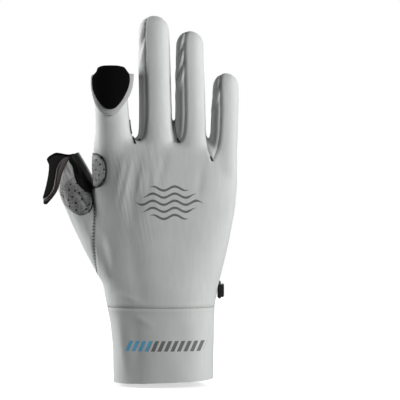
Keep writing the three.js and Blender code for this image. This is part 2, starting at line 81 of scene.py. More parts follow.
makeCamera()
bpy.context.scene.view_settings.view_transform = "Standard"
print("camera ready")

# hand form
hand = {
    "cuffHeight": 48.5, "cuffWidth": 66,
    "wristWidth": 71, "wristDepth": 43, "wristShift": -1.8, "hemTilt": 2.2,
    "palmHeight": 107, "palmDepth": 27, "palmBulge": 2.5, "handShift": 2.9,
    "thumbSide": 3, "knuckleDrop": 10, "knuckleSetback": 9, "fingerCurl": 8,
    "crotchDepth": 16, "seamForward": 3.5,
    "voxel": 0.95, "cloth": 0.9,
    "groove": 0.3, "grooveWidth": 0.8, "ridge": 0.1, "ridgeAt": 2.0, "ridgeWidth": 0.9, "hemExtra": 0.7,
}
fingers = [
    dict(
        name="index", width=22.4, depth=18.6, length=51, gap=4.8, flare=2.6, drop=0, lean=-3.4, seam=0,
        open=True
    ),
    dict(
        name="middle", width=22.0, depth=18.0, length=84, gap=1.6, flare=2.2, drop=0, lean=-1.6, seam=6.5,
        open=False
    ),
    dict(
        name="ring", width=20.2, depth=17.0, length=74, gap=2.2, flare=1.6, drop=0, lean=-0.4, seam=3.0,
        open=False
    ),
    dict(
        name="little", width=18.7, depth=15.6, length=58, gap=0, flare=0.6, drop=12, lean=1.6, seam=2.5,
        open=False
    ),
]
palmTop = hand["cuffHeight"] + hand["palmHeight"]
longest = max(finger["length"] for finger in fingers)
span = sum(finger["width"] + finger["gap"] for finger in fingers)
palmWidth = span + hand["thumbSide"]
palmShift = hand["handShift"] - hand["thumbSide"] / 2
palmLeft = palmShift - palmWidth / 2
edge = hand["handShift"] - span / 2
for finger in fingers:
    finger["centre"] = edge + finger["width"] / 2
    edge += finger["width"] + finger["gap"]
    finger["crotch"] = palmTop - finger["drop"]
    finger["top"] = finger["crotch"] + finger["length"]

# share of the height above the cuff, growth in width, sideways shift, thinning, palm bulge
palmRows = np.array([
    (-0.46, -0.21, 0.56, -0.19, 0.0), (-0.25, -0.184, 0.5, -0.165, 0.0), (-0.09, -0.094, 0.25, -0.084, 0.0),
    (0.0, 0.0, 0.0, 0.0, 0.0), (0.1, 0.13, 0.0, 0.15, 0.25), (0.22, 0.36, 0.05, 0.35, 0.6),
    (0.42, 0.68, 0.4, 0.6, 1.0), (0.62, 0.9, 0.8, 0.8, 1.0), (0.78, 0.98, 1.0, 0.93, 0.8),
    (0.88, 1.0, 1.0, 1.1, 0.5), (0.955, 0.97, 1.0, 1.35, 0.15),
])
# share of the free length, flare, share of the width
fingerRows = np.array([
    (-0.34, 0.0, 0.8), (-0.1, 1.0, 0.97), (0.0, 0.8, 1.0), (0.08, 0.3, 1.0), (0.18, 0.06, 1.0),
    (0.42, 0.0, 0.97), (0.7, 0.0, 0.94), (1.0, 0.0, 0.9), (1.2, 0.0, 0.88),
])
thumb = {
    "length": 90, "width": 25, "depth": 23, "splay": math.radians(24.3), "inset": 14.7, "rise": 19,
    "forward": 5, "dip": 4.8
}
# share of the length, share of the width, share of the depth, share of the way to the palm
thumbRows = np.array([
    (-0.06, 0.6, 1.0, 0.0), (0.0, 0.76, 1.2, 0.1), (0.27, 0.95, 1.36, 0.6), (0.49, 1.0, 1.18, 1.0),
    (0.71, 0.95, 1.0, 1.2), (0.86, 0.84, 0.86, 1.3), (1.0, 0.73, 0.76, 1.35), (1.15, 0.68, 0.72, 1.35),
])


def smoothStep(t):
    t = np.clip(t, 0, 1)
    return t * t * (3 - 2 * t)


def softRows(table, at, blur):
    # every column of a table at the shares `at`, with its corners rounded over `blur`
    fine = np.linspace(table[0, 0] - 3 * blur, table[-1, 0] + 3 * blur, 600)
    step = fine[1] - fine[0]
    reach = np.arange(-3 * blur, 3 * blur + step, step)
    weight = np.exp(-0.5 * (reach / (blur * 0.6)) ** 2)
    weight /= weight.sum()
    columns = []
    for k in range(1, table.shape[1]):
        values = np.interp(fine, table[:, 0], table[:, k])
        padded = np.pad(values, len(weight) // 2, mode="edge")
        columns.append(np.interp(at, fine, np.convolve(padded, weight, mode="valid")[: len(fine)]))
    return columns


def spineY(z):
    z = np.asarray(z, float)
    curl = np.maximum(0, z - palmTop) / longest
    return -hand["knuckleSetback"] * smoothStep(z / palmTop) + hand["fingerCurl"] * curl ** 2


def seamY(z):
    return spineY(z) + hand["seamForward"]


def fingerX(finger, z):
    return finger["centre"] + finger["lean"] * (z - finger["crotch"]) / finger["length"]


def bent(v, power):
    # a circle's sine or cosine, squared up: 2 keeps it round
    return np.sign(v) * np.abs(v) ** (2 / power)


def ringAt(centre, halfWidth, halfDepth, sides, power, side=(1, 0, 0), front=(0, 1, 0)):
    angle = np.linspace(0, 2 * np.pi, sides, endpoint=False)
    across = bent(np.cos(angle), power)[:, None] * halfWidth * np.array(side)
    return np.array(centre) + across + bent(np.sin(angle), power)[:, None] * halfDepth * np.array(front)


def loft(rings):
    rows, sides = len(rings), len(rings[0])
    points = np.concatenate([np.concatenate(rings), [rings[0].mean(0)], [rings[-1].mean(0)]])
    faces = []
    for r in range(rows - 1):
        for k in range(sides):
            a, b = r * sides + k, r * sides + (k + 1) % sides
            faces.append((a, b, b + sides, a + sides))
    low, high, last = rows * sides, rows * sides + 1, (rows - 1) * sides
    for k in range(sides):
        n = (k + 1) % sides
        faces += [(low, n, k), (high, last + k, last + n)]
    return points, faces


def palmLoft():
    ups = np.concatenate([np.arange(-0.49, 0.955, 0.016), [0.955]])
    widen, shift, thin, bulge = softRows(palmRows, ups, 0.035)
    mix = lambda a, b, t: a + (b - a) * t
    halfWidths = mix(hand["wristWidth"], palmWidth, widen) / 2
    halfDepths = mix(hand["wristDepth"], hand["palmDepth"], thin) / 2
    centres = mix(hand["wristShift"], palmShift, shift)
    drop = hand["knuckleDrop"] / palmWidth
    rings = []
    for k, up in enumerate(ups):
        z = hand["cuffHeight"] + hand["palmHeight"] * up
        ring = ringAt(
            (centres[k], spineY(z) + hand["palmBulge"] * bulge[k], z), halfWidths[k], halfDepths[k], 96, 2.4
        )
        ring[:, 2] -= drop * smoothStep(up) * (ring[:, 0] - palmShift)
        rings.append(ring)
    z = hand["cuffHeight"] + hand["palmHeight"] * ups[-1]
    radius = halfDepths[-1] * 0.55
    for angle in np.linspace(0, np.pi / 2, 7)[1:]:
        inset = radius * (1 - math.cos(angle))
        level = z + radius * math.sin(angle)
        flat = halfDepths[-1] * (1 - 0.9 * inset / radius)
        ring = ringAt(
            (centres[-1], spineY(level) + hand["palmBulge"] * bulge[-1], level), halfWidths[-1] - inset, flat,
            96, 2.4
        )
        ring[:, 2] -= drop * (ring[:, 0] - palmShift)
        rings.append(ring)
    return loft(rings)


def fingerLoft(finger):
    tip = finger["width"] / 2 * 0.98
    end = finger["top"] + 6 if finger["open"] else finger["top"] - tip
    free = finger["length"] if finger["open"] else finger["length"] - tip
    levels = np.linspace(finger["crotch"] - 0.34 * 3 * hand["crotchDepth"], end, 60)
    share = (levels - finger["crotch"]) / free
    share[share < 0] = ((levels - finger["crotch"]) / (3 * hand["crotchDepth"]))[share < 0]
    flare, wide = softRows(fingerRows, share, 0.04)
    if finger["open"]:
        wide = wide * (1 - 0.09 * smoothStep((levels - finger["top"] + 15) / 12))
    place = lambda z: (fingerX(finger, z), float(spineY(z)), z)
    rings = []
    for k, z in enumerate(levels):
        halfWidth = finger["width"] / 2 * wide[k] + finger["flare"] * flare[k]
        halfDepth = finger["depth"] / 2 * wide[k] + finger["flare"] * flare[k] / 2
        rings.append(ringAt(place(z), halfWidth, halfDepth, 48, 2.2))
    if not finger["open"]:
        for angle in np.linspace(0, np.pi / 2, 12)[1:]:
            shrink = max(math.cos(angle), 0.03)
            rings.append(
                ringAt(place(end + tip * math.sin(angle)), halfWidth * shrink, halfDepth * shrink, 48, 2.2)
            )
    return loft(rings)


thumbAxis = np.array([-math.sin(thumb["splay"]), 0, math.cos(thumb["splay"])])
thumbSide = np.array([math.cos(thumb["splay"]), 0, math.sin(thumb["splay"])])
thumbBase = np.array(
    [palmLeft + thumb["inset"], float(spineY(hand["cuffHeight"])), hand["cuffHeight"] + thumb["rise"]]
)


def thumbCentre(along):
    forward = np.interp(along, thumbRows[:, 0], thumbRows[:, 3])
    return thumbBase + thumbAxis * along * thumb["length"] + np.array([0, forward * thumb["forward"], 0])


def thumbDip(across):
    # how much lower the opening lies towards the index finger
    return thumb["dip"] * smoothStep((across + 3) / 9)


def thumbLoft():
    shares = np.linspace(-0.06, 1.07, 46)
    wide, deep, forward = softRows(thumbRows, shares, 0.05)
    rings = []
    for k, share in enumerate(shares):
        forwards = np.array([0, forward[k] * thumb["forward"], 0])
        centre = thumbBase + thumbAxis * share * thumb["length"] + forwards
        halfWidth, halfDepth = thumb["width"] / 2 * wide[k], thumb["depth"] / 2 * deep[k]
        rings.append(ringAt(centre, halfWidth, halfDepth, 56, 2.1, thumbSide))
    return loft(rings)


def makeObject(name, points, faces, scale=mm):
    mesh = bpy.data.meshes.new(name)
    mesh.from_pydata((np.asarray(points) * scale).tolist(), [], [list(map(int, face)) for face in faces])
    mesh.validate()
    item = bpy.data.objects.new(name, mesh)
    bpy.context.scene.collection.objects.link(item)
    return item


def plainMesh(item):
    # the evaluated mesh of an object, with its modifiers gone
    deps = bpy.context.evaluated_depsgraph_get()
    mesh = bpy.data.meshes.new_from_object(item.evaluated_get(deps), depsgraph=deps)
    old = item.data
    item.modifiers.clear()
    item.data = mesh
    if old.users == 0:
        (bpy.data.curves if isinstance(old, bpy.types.Curve) else bpy.data.meshes).remove(old)
    return mesh


def meshArrays(mesh):
    points = np.empty(len(mesh.vertices) * 3, np.float32)
    mesh.vertices.foreach_get("co", points)
    pairs = np.empty(len(mesh.edges) * 2, np.int32)
    mesh.edges.foreach_get("vertices", pairs)
    return points.reshape(-1, 3).astype(float) / mm, pairs.reshape(-1, 2)


def neighbourSum(points, pairs):
    a, b, count = pairs[:, 0], pairs[:, 1], len(points)
    sums = [np.bincount(a, points[b, axis], count) + np.bincount(b, points[a, axis], count) for axis in range(3)]
    return np.stack(sums, 1)


def relax(points, pairs, rounds, weight=None):
    # Taubin smoothing: the form keeps its size
    count = np.bincount(pairs.ravel(), minlength=len(points))[:, None]
    strength = 1.0 if weight is None else weight[:, None]
    for k in range(2 * rounds):
        pull = 0.55 if k % 2 == 0 else -0.56
        points = points + pull * strength * (neighbourSum(points, pairs) / count - points)
    return points


def melt(points, pairs, rounds, weight):
    # plain smoothing where the weight is high: valleys and steps between the forms go
    count = np.bincount(pairs.ravel(), minlength=len(points))[:, None]
    for k in range(rounds):
        points = points + 0.6 * weight[:, None] * (neighbourSum(points, pairs) / count - points)
    return points


def pointNormals(mesh):
    normals = np.empty(len(mesh.vertices) * 3, np.float32)
    mesh.vertices.foreach_get("normal", normals)
    return normals.reshape(-1, 3).astype(float)


smoothing = {
    "all": 5, "crotches": 14, "melted": 55, "crotchReach": 9, "thumbCrotch": (-4, 128),
    "knuckleLevel": 150, "knuckleSlope": 0.1, "knuckleReach": 13, "knuckleFade": 4, "knuckleShare": 0.8,
    "webStart": (-47, 0, 130), "webWay": (7.0, 0, -60.0), "webReach": 9, "webShare": 0.6,
}


def crotchPlaces():
    places = []
    for a, b in zip(fingers, fingers[1:]):
        x = fingerX(a, a["crotch"]) + a["width"] / 2 + a["gap"] / 2
        z = min(a["crotch"], b["crotch"])
        places.append(np.array([x, spineY(z), z]))
    return places + [np.array([palmLeft, *smoothing["thumbCrotch"]])]


def handSurface():
    allPoints, allFaces = [], []
    for points, faces in [palmLoft(), thumbLoft()] + [fingerLoft(finger) for finger in fingers]:
        start = sum(len(part) for part in allPoints)
        allPoints.append(points)
        allFaces += [tuple(v + start for v in face) for face in faces]
    item = makeObject("hand_form", np.concatenate(allPoints), allFaces)
    remesh = item.modifiers.new("fuse", "REMESH")
    remesh.mode = "VOXEL"
    remesh.voxel_size = hand["voxel"] * mm
    mesh = plainMesh(item)
    points, pairs = meshArrays(mesh)
    near = np.zeros(len(points))
    for place in crotchPlaces():
        away = np.linalg.norm(points - place, axis=1)
        near = np.maximum(near, np.exp(-(away / smoothing["crotchReach"]) ** 2))
    x, z = points[:, 0], points[:, 2]
    above = z - smoothing["knuckleLevel"] + smoothing["knuckleSlope"] * (x - palmShift)
    outside = np.exp(-(np.maximum(0, palmLeft - x) / smoothing["knuckleFade"]) ** 2)
    knuckles = np.exp(-(above / smoothing["knuckleReach"]) ** 2) * outside
    start, way = np.array(smoothing["webStart"]), np.array(smoothing["webWay"])
    along = np.clip(((points - start) @ way) / (way @ way), 0, 1)
    gap = (points - start - along[:, None] * way)[:, [0, 2]]
    web = np.exp(-((np.linalg.norm(gap, axis=1)) / smoothing["webReach"]) ** 2)
    points = relax(points, pairs, smoothing["all"])
    points = relax(points, pairs, smoothing["crotches"], near)
    melted = np.maximum(smoothing["knuckleShare"] * knuckles * (1 - near ** 2), smoothing["webShare"] * web)
    points = melt(points, pairs, smoothing["melted"], melted)
    mesh.vertices.foreach_set("co", (points * mm).astype(np.float32).ravel())
    mesh.update()
    return item


surface = handSurface()
print("hand surface", len(surface.data.vertices), "points")

# seam lines
# `inward` is a share of the palm's width from its thumb side, `up` of its height above the cuff
heelSeam = [
    (0.43, -0.06), (0.425, 0.14), (0.41, 0.28), (0.38, 0.42), (0.325, 0.52), (0.23, 0.61), (0.13, 0.68),
    (0.0, 0.735), (0.0, 1.3)
]
knitEdge = [
    (0.275, -0.06), (0.214, 0.19), (0.14, 0.29), (0.06, 0.38), (-0.03, 0.48), (-0.16, 0.6), (-0.27, 0.83),
    (-0.46, 1.2)
]
thumbSeam = [
    (-0.2, 0.2), (0.0, 0.2), (0.026, 0.215), (0.02, 0.27), (0.008, 0.42), (0.012, 0.6), (-0.01, 0.74),
    (-0.01, 1.1)
]
heelEnd = [(-0.2, 0.2), (0.0, 0.2), (0.3, 0.02), (0.3, 1.1)]


def onHand(line):
    return [
        (palmLeft + inward * palmWidth, hand["cuffHeight"] + up * hand["palmHeight"]) for inward, up in line
    ]


def rounded(line, steps=6):
    # a smooth line through the points
    line = np.array(line, float)
    ends = np.concatenate([[2 * line[0] - line[1]], line, [2 * line[-1] - line[-2]]])
    found = []
    for k in range(len(line) - 1):
        a, b, c, d = ends[k: k + 4]
        for t in np.arange(steps) / steps:
            square, cube = 2 * a - 5 * b + 4 * c - d, 3 * b - a - 3 * c + d
            found.append(0.5 * (2 * b + (c - a) * t + square * t ** 2 + cube * t ** 3))
    return np.array(found + [line[-1]])


def lineField(points, line, closed=False):
    # Distance in X and Z to a line. It is positive inside a closed line, and on the
    # thumb's side of an open one.
    line = np.asarray(line, float)
    flat = points[:, [0, 2]]
    outline = line if closed else np.concatenate([line, [[-300, line[-1, 1]], [-300, line[0, 1]]]])
    inside = np.zeros(len(flat), bool)
    for a, b in zip(outline, np.roll(outline, -1, 0)):
        if a[1] != b[1]:
            crossing = a[0] + (flat[:, 1] - a[1]) / (b[1] - a[1]) * (b[0] - a[0])
            inside ^= ((a[1] > flat[:, 1]) != (b[1] > flat[:, 1])) & (flat[:, 0] < crossing)
    best = np.full(len(flat), 1e9)
    for a, b in zip(line if closed else line[:-1], np.roll(line, -1, 0) if closed else line[1:]):
        way = b - a
        size = max(float(way @ way), 1e-9)
        t = np.clip(((flat - a) @ way) / size, 0, 1)
        best = np.minimum(best, np.hypot(*(flat - (a + t[:, None] * way)).T))
    return np.where(inside, best, -best)


gussetSeams = {
    "middle": [
        (139.2, 141.7), (142.5, 140), (145, 136.2), (146.3, 129), (147, 118), (147, 100), (146.5, 80),
        (146, 60), (145.5, 40), (145.6, 26), (147.5, 14)
    ],
    "ring": [
        (178.8, 143.2), (181.8, 141), (183.8, 136.8), (185.1, 129), (185.6, 115), (185.4, 95), (185, 72),
        (184.5, 52), (185.2, 38), (188, 26)
    ],
    "little": [
        (212.2, 161.5), (214.8, 156.5), (217.2, 149.5), (219.2, 140), (220.2, 128), (220.7, 112), (220.3, 98),
        (219.7, 86), (220.2, 77), (221.5, 70)
    ],
}
gussetFeet = {
    "middle": [(134.9, 139.3)], "ring": [(174.6, 124), (176.1, 134)], "little": [(206.4, 139), (208.2, 150)]
}


def gussetLine(a, b):
    # closed outline of the strip on the near side of finger b, seen from the front
    between = lambda z: (fingerX(a, z) + a["width"] / 2 + fingerX(b, z) - b["width"] / 2) / 2
    seam = [fromPicture(*spot) for spot in gussetSeams[b["name"]]]
    return rounded(seam, 4), [(between(seam[-1][1]) - 1, seam[-1][1])] + [
        fromPicture(*spot)
        for spot in gussetFeet[b["name"]]
    ]


seams = {
    "heel": rounded(onHand(heelSeam)),
    "knit": rounded(onHand(knitEdge)),
    "thumb": rounded(onHand(thumbSeam)),
    "end": np.array(onHand(heelEnd)),
}
gussets = [(f"gusset_{a['name']}_{b['name']}", a, b, *gussetLine(a, b)) for a, b in zip(fingers, fingers[1:])]


def fieldsOf(points):
    x, y, z = points.T
    found = {
        "palm": y - seamY(z),
        "cuff": hand["cuffHeight"] - z,
        "heel": lineField(points, seams["heel"]),
        "knit": lineField(points, seams["knit"]),
        "thumb": lineField(points, seams["thumb"]),
        "end": lineField(points, seams["end"]),
    }
    for name, a, b, seam, back in gussets:
        found[name] = lineField(points, np.concatenate([seam, back]), closed=True)
    return found


panelNames = ["cuff", "back_panel", "thumb_panel", "palm_panel", "heel_panel"] + [
    gusset[0]
    for gusset in gussets
]


def labelsOf(points):
    at = fieldsOf(points)
    palmHalf = at["palm"] > 0
    perforated = palmHalf & (at["knit"] < 0)
    label = np.full(len(points), panelNames.index("back_panel"))
    label[perforated] = panelNames.index("palm_panel")
    label[perforated & (at["heel"] > 0)] = panelNames.index("heel_panel")
    label[~perforated & (((at["thumb"] > 0) & ~palmHalf) | ((at["end"] > 0) & palmHalf))] = panelNames.index(
        "thumb_panel"
    )
    for name, a, b, seam, back in gussets:
        label[(at[name] > 0) & ~palmHalf] = panelNames.index(name)
    label[at["cuff"] > 0] = panelNames.index("cuff")
    return label


# folds
# Each fold runs from one place to another in X and Z, with its half width and height.
# A hollow has a height below zero. `side` is -1 for the back of the hand, 1 for the palm.
folds = [
    dict(start=(-15, 150), end=(-22, 96), wide=5.0, high=-0.7, side=-1),
    dict(start=(-22, 96), end=(-14, 50), wide=6.0, high=-0.8, side=-1),
    dict(start=(-25, 148), end=(-32, 112), wide=2.0, high=0.35, side=-1),
    dict(start=(-20, 146), end=(-27, 112), wide=1.6, high=0.3, side=-1),
    dict(start=(-13, 140), end=(-17, 118), wide=1.7, high=0.3, side=-1),
    dict(start=(-8, 138), end=(-10, 120), wide=1.6, high=-0.25, side=-1),
    dict(start=(2, 150), end=(-3, 126), wide=2.6, high=-0.3, side=-1),
    dict(start=(26, 143), end=(22, 118), wide=3.2, high=-0.35, side=-1),
    dict(start=(-24, 48), end=(-19, 4), wide=5.5, high=-0.9, side=-1),
    dict(start=(-29, 40), end=(-24, 6), wide=2.6, high=0.5, side=-1),
    dict(start=(8, 44), end=(16, 8), wide=6.0, high=-0.35, side=-1),
    dict(start=(-20, 44), end=(-6, 37), wide=2.2, high=0.3, side=-1),
    dict(start=(-30, 58), end=(-12, 51), wide=1.8, high=0.3, side=-1),
    dict(start=(8.0, 184), end=(13.6, 204), wide=1.0, high=0.7, side=-1),
    dict(start=(7.8, 190), end=(13.4, 210), wide=0.9, high=-0.7, side=-1),
    dict(start=(8.2, 197), end=(13.0, 216), wide=1.0, high=0.7, side=-1),
    dict(start=(8.6, 204), end=(12.8, 222), wide=0.9, high=-0.8, side=-1),
    dict(start=(9.4, 211), end=(13.4, 227), wide=0.9, high=0.6, side=-1),
    dict(start=(-16.0, 220), end=(-12.4, 234), wide=0.9, high=0.6, side=-1),
    dict(start=(-15.8, 212), end=(-12.2, 227), wide=0.9, high=-0.6, side=-1),
    dict(start=(-15.6, 204), end=(-12.0, 219), wide=0.9, high=0.5, side=-1),
    dict(start=(31.8, 184), end=(36.8, 194), wide=0.9, high=-0.6, side=-1),
    dict(start=(31.6, 176), end=(36.8, 188), wide=0.9, high=0.6, side=-1),
    dict(start=(-52, 106), end=(-44, 84), wide=2.0, high=0.3, side=-1),
    dict(start=(-42.5, 110), end=(-33.6, 62), wide=4.2, high=1.2, side=-1),
    dict(start=(-20, 118), end=(18, 112), wide=2.2, high=-0.6, side=1),
    dict(start=(-24, 100), end=(10, 86), wide=2.6, high=-0.6, side=1),
    dict(start=(20, 130), end=(34, 104), wide=2.4, high=-0.5, side=1),
    dict(start=(-30, 92), end=(-12, 66), wide=2.0, high=0.5, side=1),
    dict(start=(-26, 46), end=(-10, 14), wide=3.0, high=0.5, side=1),
    dict(start=(2, 44), end=(18, 20), wide=3.6, high=-0.5, side=1),
]


def foldHeight(points, normals):
    total = np.zeros(len(points))
    flat = points[:, [0, 2]]
    for fold in folds:
        a, b = np.array(fold["start"], float), np.array(fold["end"], float)
        way = b - a
        t = ((flat - a) @ way) / (way @ way)
        inside = np.clip(t, 0, 1)
        gap = flat - (a + inside[:, None] * way)
        fade = np.clip(np.sin(np.pi * np.clip(t, -0.1, 1.1) * 0.84 + 0.26), 0, 1)
        facing = smoothStep(0.62 + 0.9 * fold["side"] * normals[:, 1])
        total += fold["high"] * np.exp(-(gap ** 2).sum(1) / (fold["wide"] ** 2)) * fade * facing
    return total


def gentleWaves(points):
    # broad unevenness of stretched cloth, from a few slanting waves
    x, y, z = points.T
    waves = [
        (0.11, 0.037, 0.9, 0.16), (-0.07, 0.055, 2.1, 0.14), (0.19, -0.021, 0.4, 0.08), (0.05, 0.13, 1.7, 0.07)
    ]
    return sum(high * np.sin(kx * x + kz * z + phase + 0.1 * y) for kx, kz, phase, high in waves)


def shapeSurface(item):
    mesh = item.data
    points, pairs = meshArrays(mesh)
    normals = pointNormals(mesh)
    lift = foldHeight(points, normals) + gentleWaves(points)
    moved = points + normals * lift[:, None]
    mesh.vertices.foreach_set("co", (moved * mm).astype(np.float32).ravel())
    mesh.update()


shapeSurface(surface)


def cutAlong(bm, values, wanted):
    # splits the wanted faces where the values at their corners pass through zero
    place = bm.verts.layers.float_vector.get("place") or bm.verts.layers.float_vector.new("place")
    bm.verts.ensure_lookup_table()
    for vert, value in zip(bm.verts, values):
        vert[place] = vert.co
        vert.co = (value, vert.co.y, vert.co.z)
    bm.faces.ensure_lookup_table()
    faces = [bm.faces[k] for k in np.nonzero(wanted)[0]]
    edges = {edge for face in faces for edge in face.edges}
    verts = {vert for face in faces for vert in face.verts}
    bmesh.ops.bisect_plane(
        bm, geom=list(verts) + list(edges) + faces, dist=0.12, plane_co=(0, 0, 0), plane_no=(1, 0, 0)
    )
    for vert in bm.verts:
        vert.co = vert[place]
    bm.verts.ensure_lookup_table()
    bm.faces.ensure_lookup_table()


def vertsOf(bm):
    return np.array([vert.co[:] for vert in bm.verts]) / mm


def facesOf(bm):
    return np.array([face.calc_center_median()[:] for face in bm.faces]) / mm


# Each trim stays within a band of the hand. The index finger's cloth ends lower by `drop`.
openings = {
    "drop": 4.5, "hemBand": 8, "indexBand": 8, "indexReach": 12.6, "thumbBand": 14, "thumbReach": 3,
    "seamBand": 4
}


def cutPanels(item):
    bm = bmesh.new()
    bm.from_mesh(item.data)
    index = fingers[0]
    hem = lambda p: p[:, 2] - hand["hemTilt"] * p[:, 0] / hand["cuffWidth"]
    openIndex = lambda p: index["top"] - openings["drop"] - p[:, 2]
    openThumb = lambda p: thumb["length"] - (p - thumbBase) @ thumbAxis - thumbDip((p - thumbBase) @ thumbSide)

    def trim(field, region):
        centres = facesOf(bm)
        cutAlong(bm, field(vertsOf(bm)), region(centres))
        centres = facesOf(bm)
        gone = [bm.faces[k] for k in np.nonzero(region(centres) & (field(centres) < 0))[0]]
        bmesh.ops.delete(bm, geom=gone, context="FACES")
        bm.faces.ensure_lookup_table()

    bm.faces.ensure_lookup_table()
    trim(hem, lambda p: p[:, 2] < openings["hemBand"])
    indexFrom, indexTo = index["top"] - openings["indexBand"], index["centre"] + openings["indexReach"]
    trim(openIndex, lambda p: (p[:, 2] > indexFrom) & (p[:, 0] < indexTo))
    thumbFrom, thumbTo = thumb["length"] - openings["thumbBand"], palmLeft - openings["thumbReach"]
    trim(openThumb, lambda p: (p[:, 0] < thumbTo) & ((p - thumbBase) @ thumbAxis > thumbFrom))

    def cut(name, region):
        centres = facesOf(bm)
        at = fieldsOf(centres)
        wanted = region(centres, at) & (np.abs(at[name]) < openings["seamBand"])
        cutAlong(bm, fieldsOf(vertsOf(bm))[name], wanted)

    cut("palm", lambda p, at: at["cuff"] < 2)
    cut("cuff", lambda p, at: p[:, 2] > 20)
    cut("knit", lambda p, at: (at["palm"] > -1) & (at["cuff"] < 1))
    cut("heel", lambda p, at: (at["palm"] > -1) & (at["cuff"] < 1) & (at["knit"] < 1))
    cut("thumb", lambda p, at: (at["palm"] < 1) & (at["cuff"] < 1))
    cut("end", lambda p, at: (at["palm"] > -1) & (at["cuff"] < 1))
    for name, a, b, seam, back in gussets:
        cut(name, lambda p, at: (at["palm"] < 1) & (p[:, 0] < fingerX(b, p[:, 2]) + 3))
    return bm


sewn = cutPanels(surface)
print("panels cut", len(sewn.faces), "faces")


def groove(bm):
    # the cloth dips at each seam and stands up a little beside it
    bm.normal_update()
    points = vertsOf(bm)
    at = fieldsOf(points)
    normals = np.array([vert.normal[:] for vert in bm.verts])
    palmHalf = at["palm"]
    above = at["cuff"] < 1
    regions = [
        ("palm", above & ~((at["knit"] > 1) & (palmHalf > -3) & (at["heel"] > 0))),
        ("heel", above & (palmHalf > 0) & (at["knit"] < 2)),
        ("knit", above & (palmHalf > 0)),
        ("thumb", above & (palmHalf < 0)),
        ("end", above & (palmHalf > 0) & (at["knit"] > 0)),
    ] + [(gusset[0], palmHalf < 0) for gusset in gussets]
    distance = np.abs(at["cuff"])
    for name, where in regions:
        distance = np.minimum(distance, np.where(where, np.abs(at[name]), 99))
    dip = -hand["groove"] * np.exp(-(distance / hand["grooveWidth"]) ** 2)
    ridge = hand["ridge"] * np.exp(-((distance - hand["ridgeAt"]) / hand["ridgeWidth"]) ** 2)
    moved = (points + normals * (dip + ridge)[:, None]) * mm
    for vert, place in zip(bm.verts, moved):
        vert.co = place
    bm.normal_update()


groove(sewn)
tree = BVHTree.FromBMesh(sewn)
print("seams pressed in")


def ontoCloth(column, row):
    # the point of the cloth that the picture shows there, and its normal
    start, way = lookAlong(column, row)
    spot, normal, index, far = tree.ray_cast(Vector(start * mm), Vector(way).normalized())
    if spot is None:
        return None, None
    return np.array(spot) / mm, np.array(normal)


panelLayer = sewn.faces.layers.int.new("panel")
sewn.faces.ensure_lookup_table()
for face, label in zip(sewn.faces, labelsOf(facesOf(sewn))):
    face[panelLayer] = int(label)


def seamRuns(bm, layer):
    # the seams as runs of points with their normals, for each pair of panels
    pairs = {}
    for edge in bm.edges:
        if len(edge.link_faces) == 2:
            a, b = sorted(face[layer] for face in edge.link_faces)
            if a != b:
                pairs.setdefault((panelNames[a], panelNames[b]), []).append(edge)
    found = {}
    for pair, edges in pairs.items():
        near = {}
        for edge in edges:
            for vert in edge.verts:
                near.setdefault(vert, []).append(edge)
        left = set(edges)
        starts = [vert for vert in near if len(near[vert]) != 2] + list(near)
        for start in starts:
            for first in near[start]:
                if first not in left:
                    continue
                run, edge, vert = [start], first, start
                while edge in left:
                    left.discard(edge)
                    vert = edge.other_vert(vert)
                    run.append(vert)
                    following = [other for other in near[vert] if other in left]
                    if len(near[vert]) != 2 or not following:
                        break
                    edge = following[0]
                if len(run) > 6:
                    spots = np.array([v.co[:] for v in run]) / mm
                    ways = np.array([v.normal[:] for v in run])
                    found.setdefault(pair, []).append((spots, ways))
    return found


def evenRun(spots, ways, step, blur=4):
    # the same run with even steps and its small zigzags gone
    for k in range(blur):
        inner = (np.roll(spots, 1, 0) + np.roll(spots, -1, 0)) / 2
        inner[0], inner[-1] = spots[0], spots[-1]
        spots = spots * 0.4 + inner * 0.6
    far = np.concatenate([[0], np.cumsum(np.linalg.norm(np.diff(spots, axis=0), axis=1))])
    at = np.linspace(0, far[-1], max(3, int(far[-1] / step) + 1))
    evenSpots = np.stack([np.interp(at, far, spots[:, k]) for k in range(3)], 1)
    evenWays = np.stack([np.interp(at, far, ways[:, k]) for k in range(3)], 1)
    return evenSpots, evenWays / np.linalg.norm(evenWays, axis=1)[:, None]


runs = seamRuns(sewn, panelLayer)
print("seams found", {"|".join(pair): len(found) for pair, found in runs.items()})


def seamDistance(points):
    # how near each point is to a seam, for the painted seam shade: 1 on it, 0 from about 3 mm away
    at = fieldsOf(points)
    above = at["cuff"] < 1
    near = [np.abs(at["cuff"])]
    near.append(np.where(above & ((at["knit"] < 2) | (at["thumb"] > -2)), np.abs(at["palm"]), 99))
    near.append(np.where(above & (at["palm"] > 0) & (at["knit"] < 2), np.abs(at["heel"]), 99))
    near.append(np.where(above & (at["palm"] > 0), np.abs(at["knit"]), 99))
    near.append(np.where(above & (at["palm"] < 0), np.abs(at["thumb"]), 99))
    near += [np.where(at["palm"] < 0, np.abs(at[gusset[0]]), 99) for gusset in gussets]
    return np.exp(-(np.min(near, 0) / 0.75) ** 2)


# perforations
holes = {"radius": 0.6, "pitch": 6.5, "row": 3.3, "edge": 0.09, "clear": 1.9}


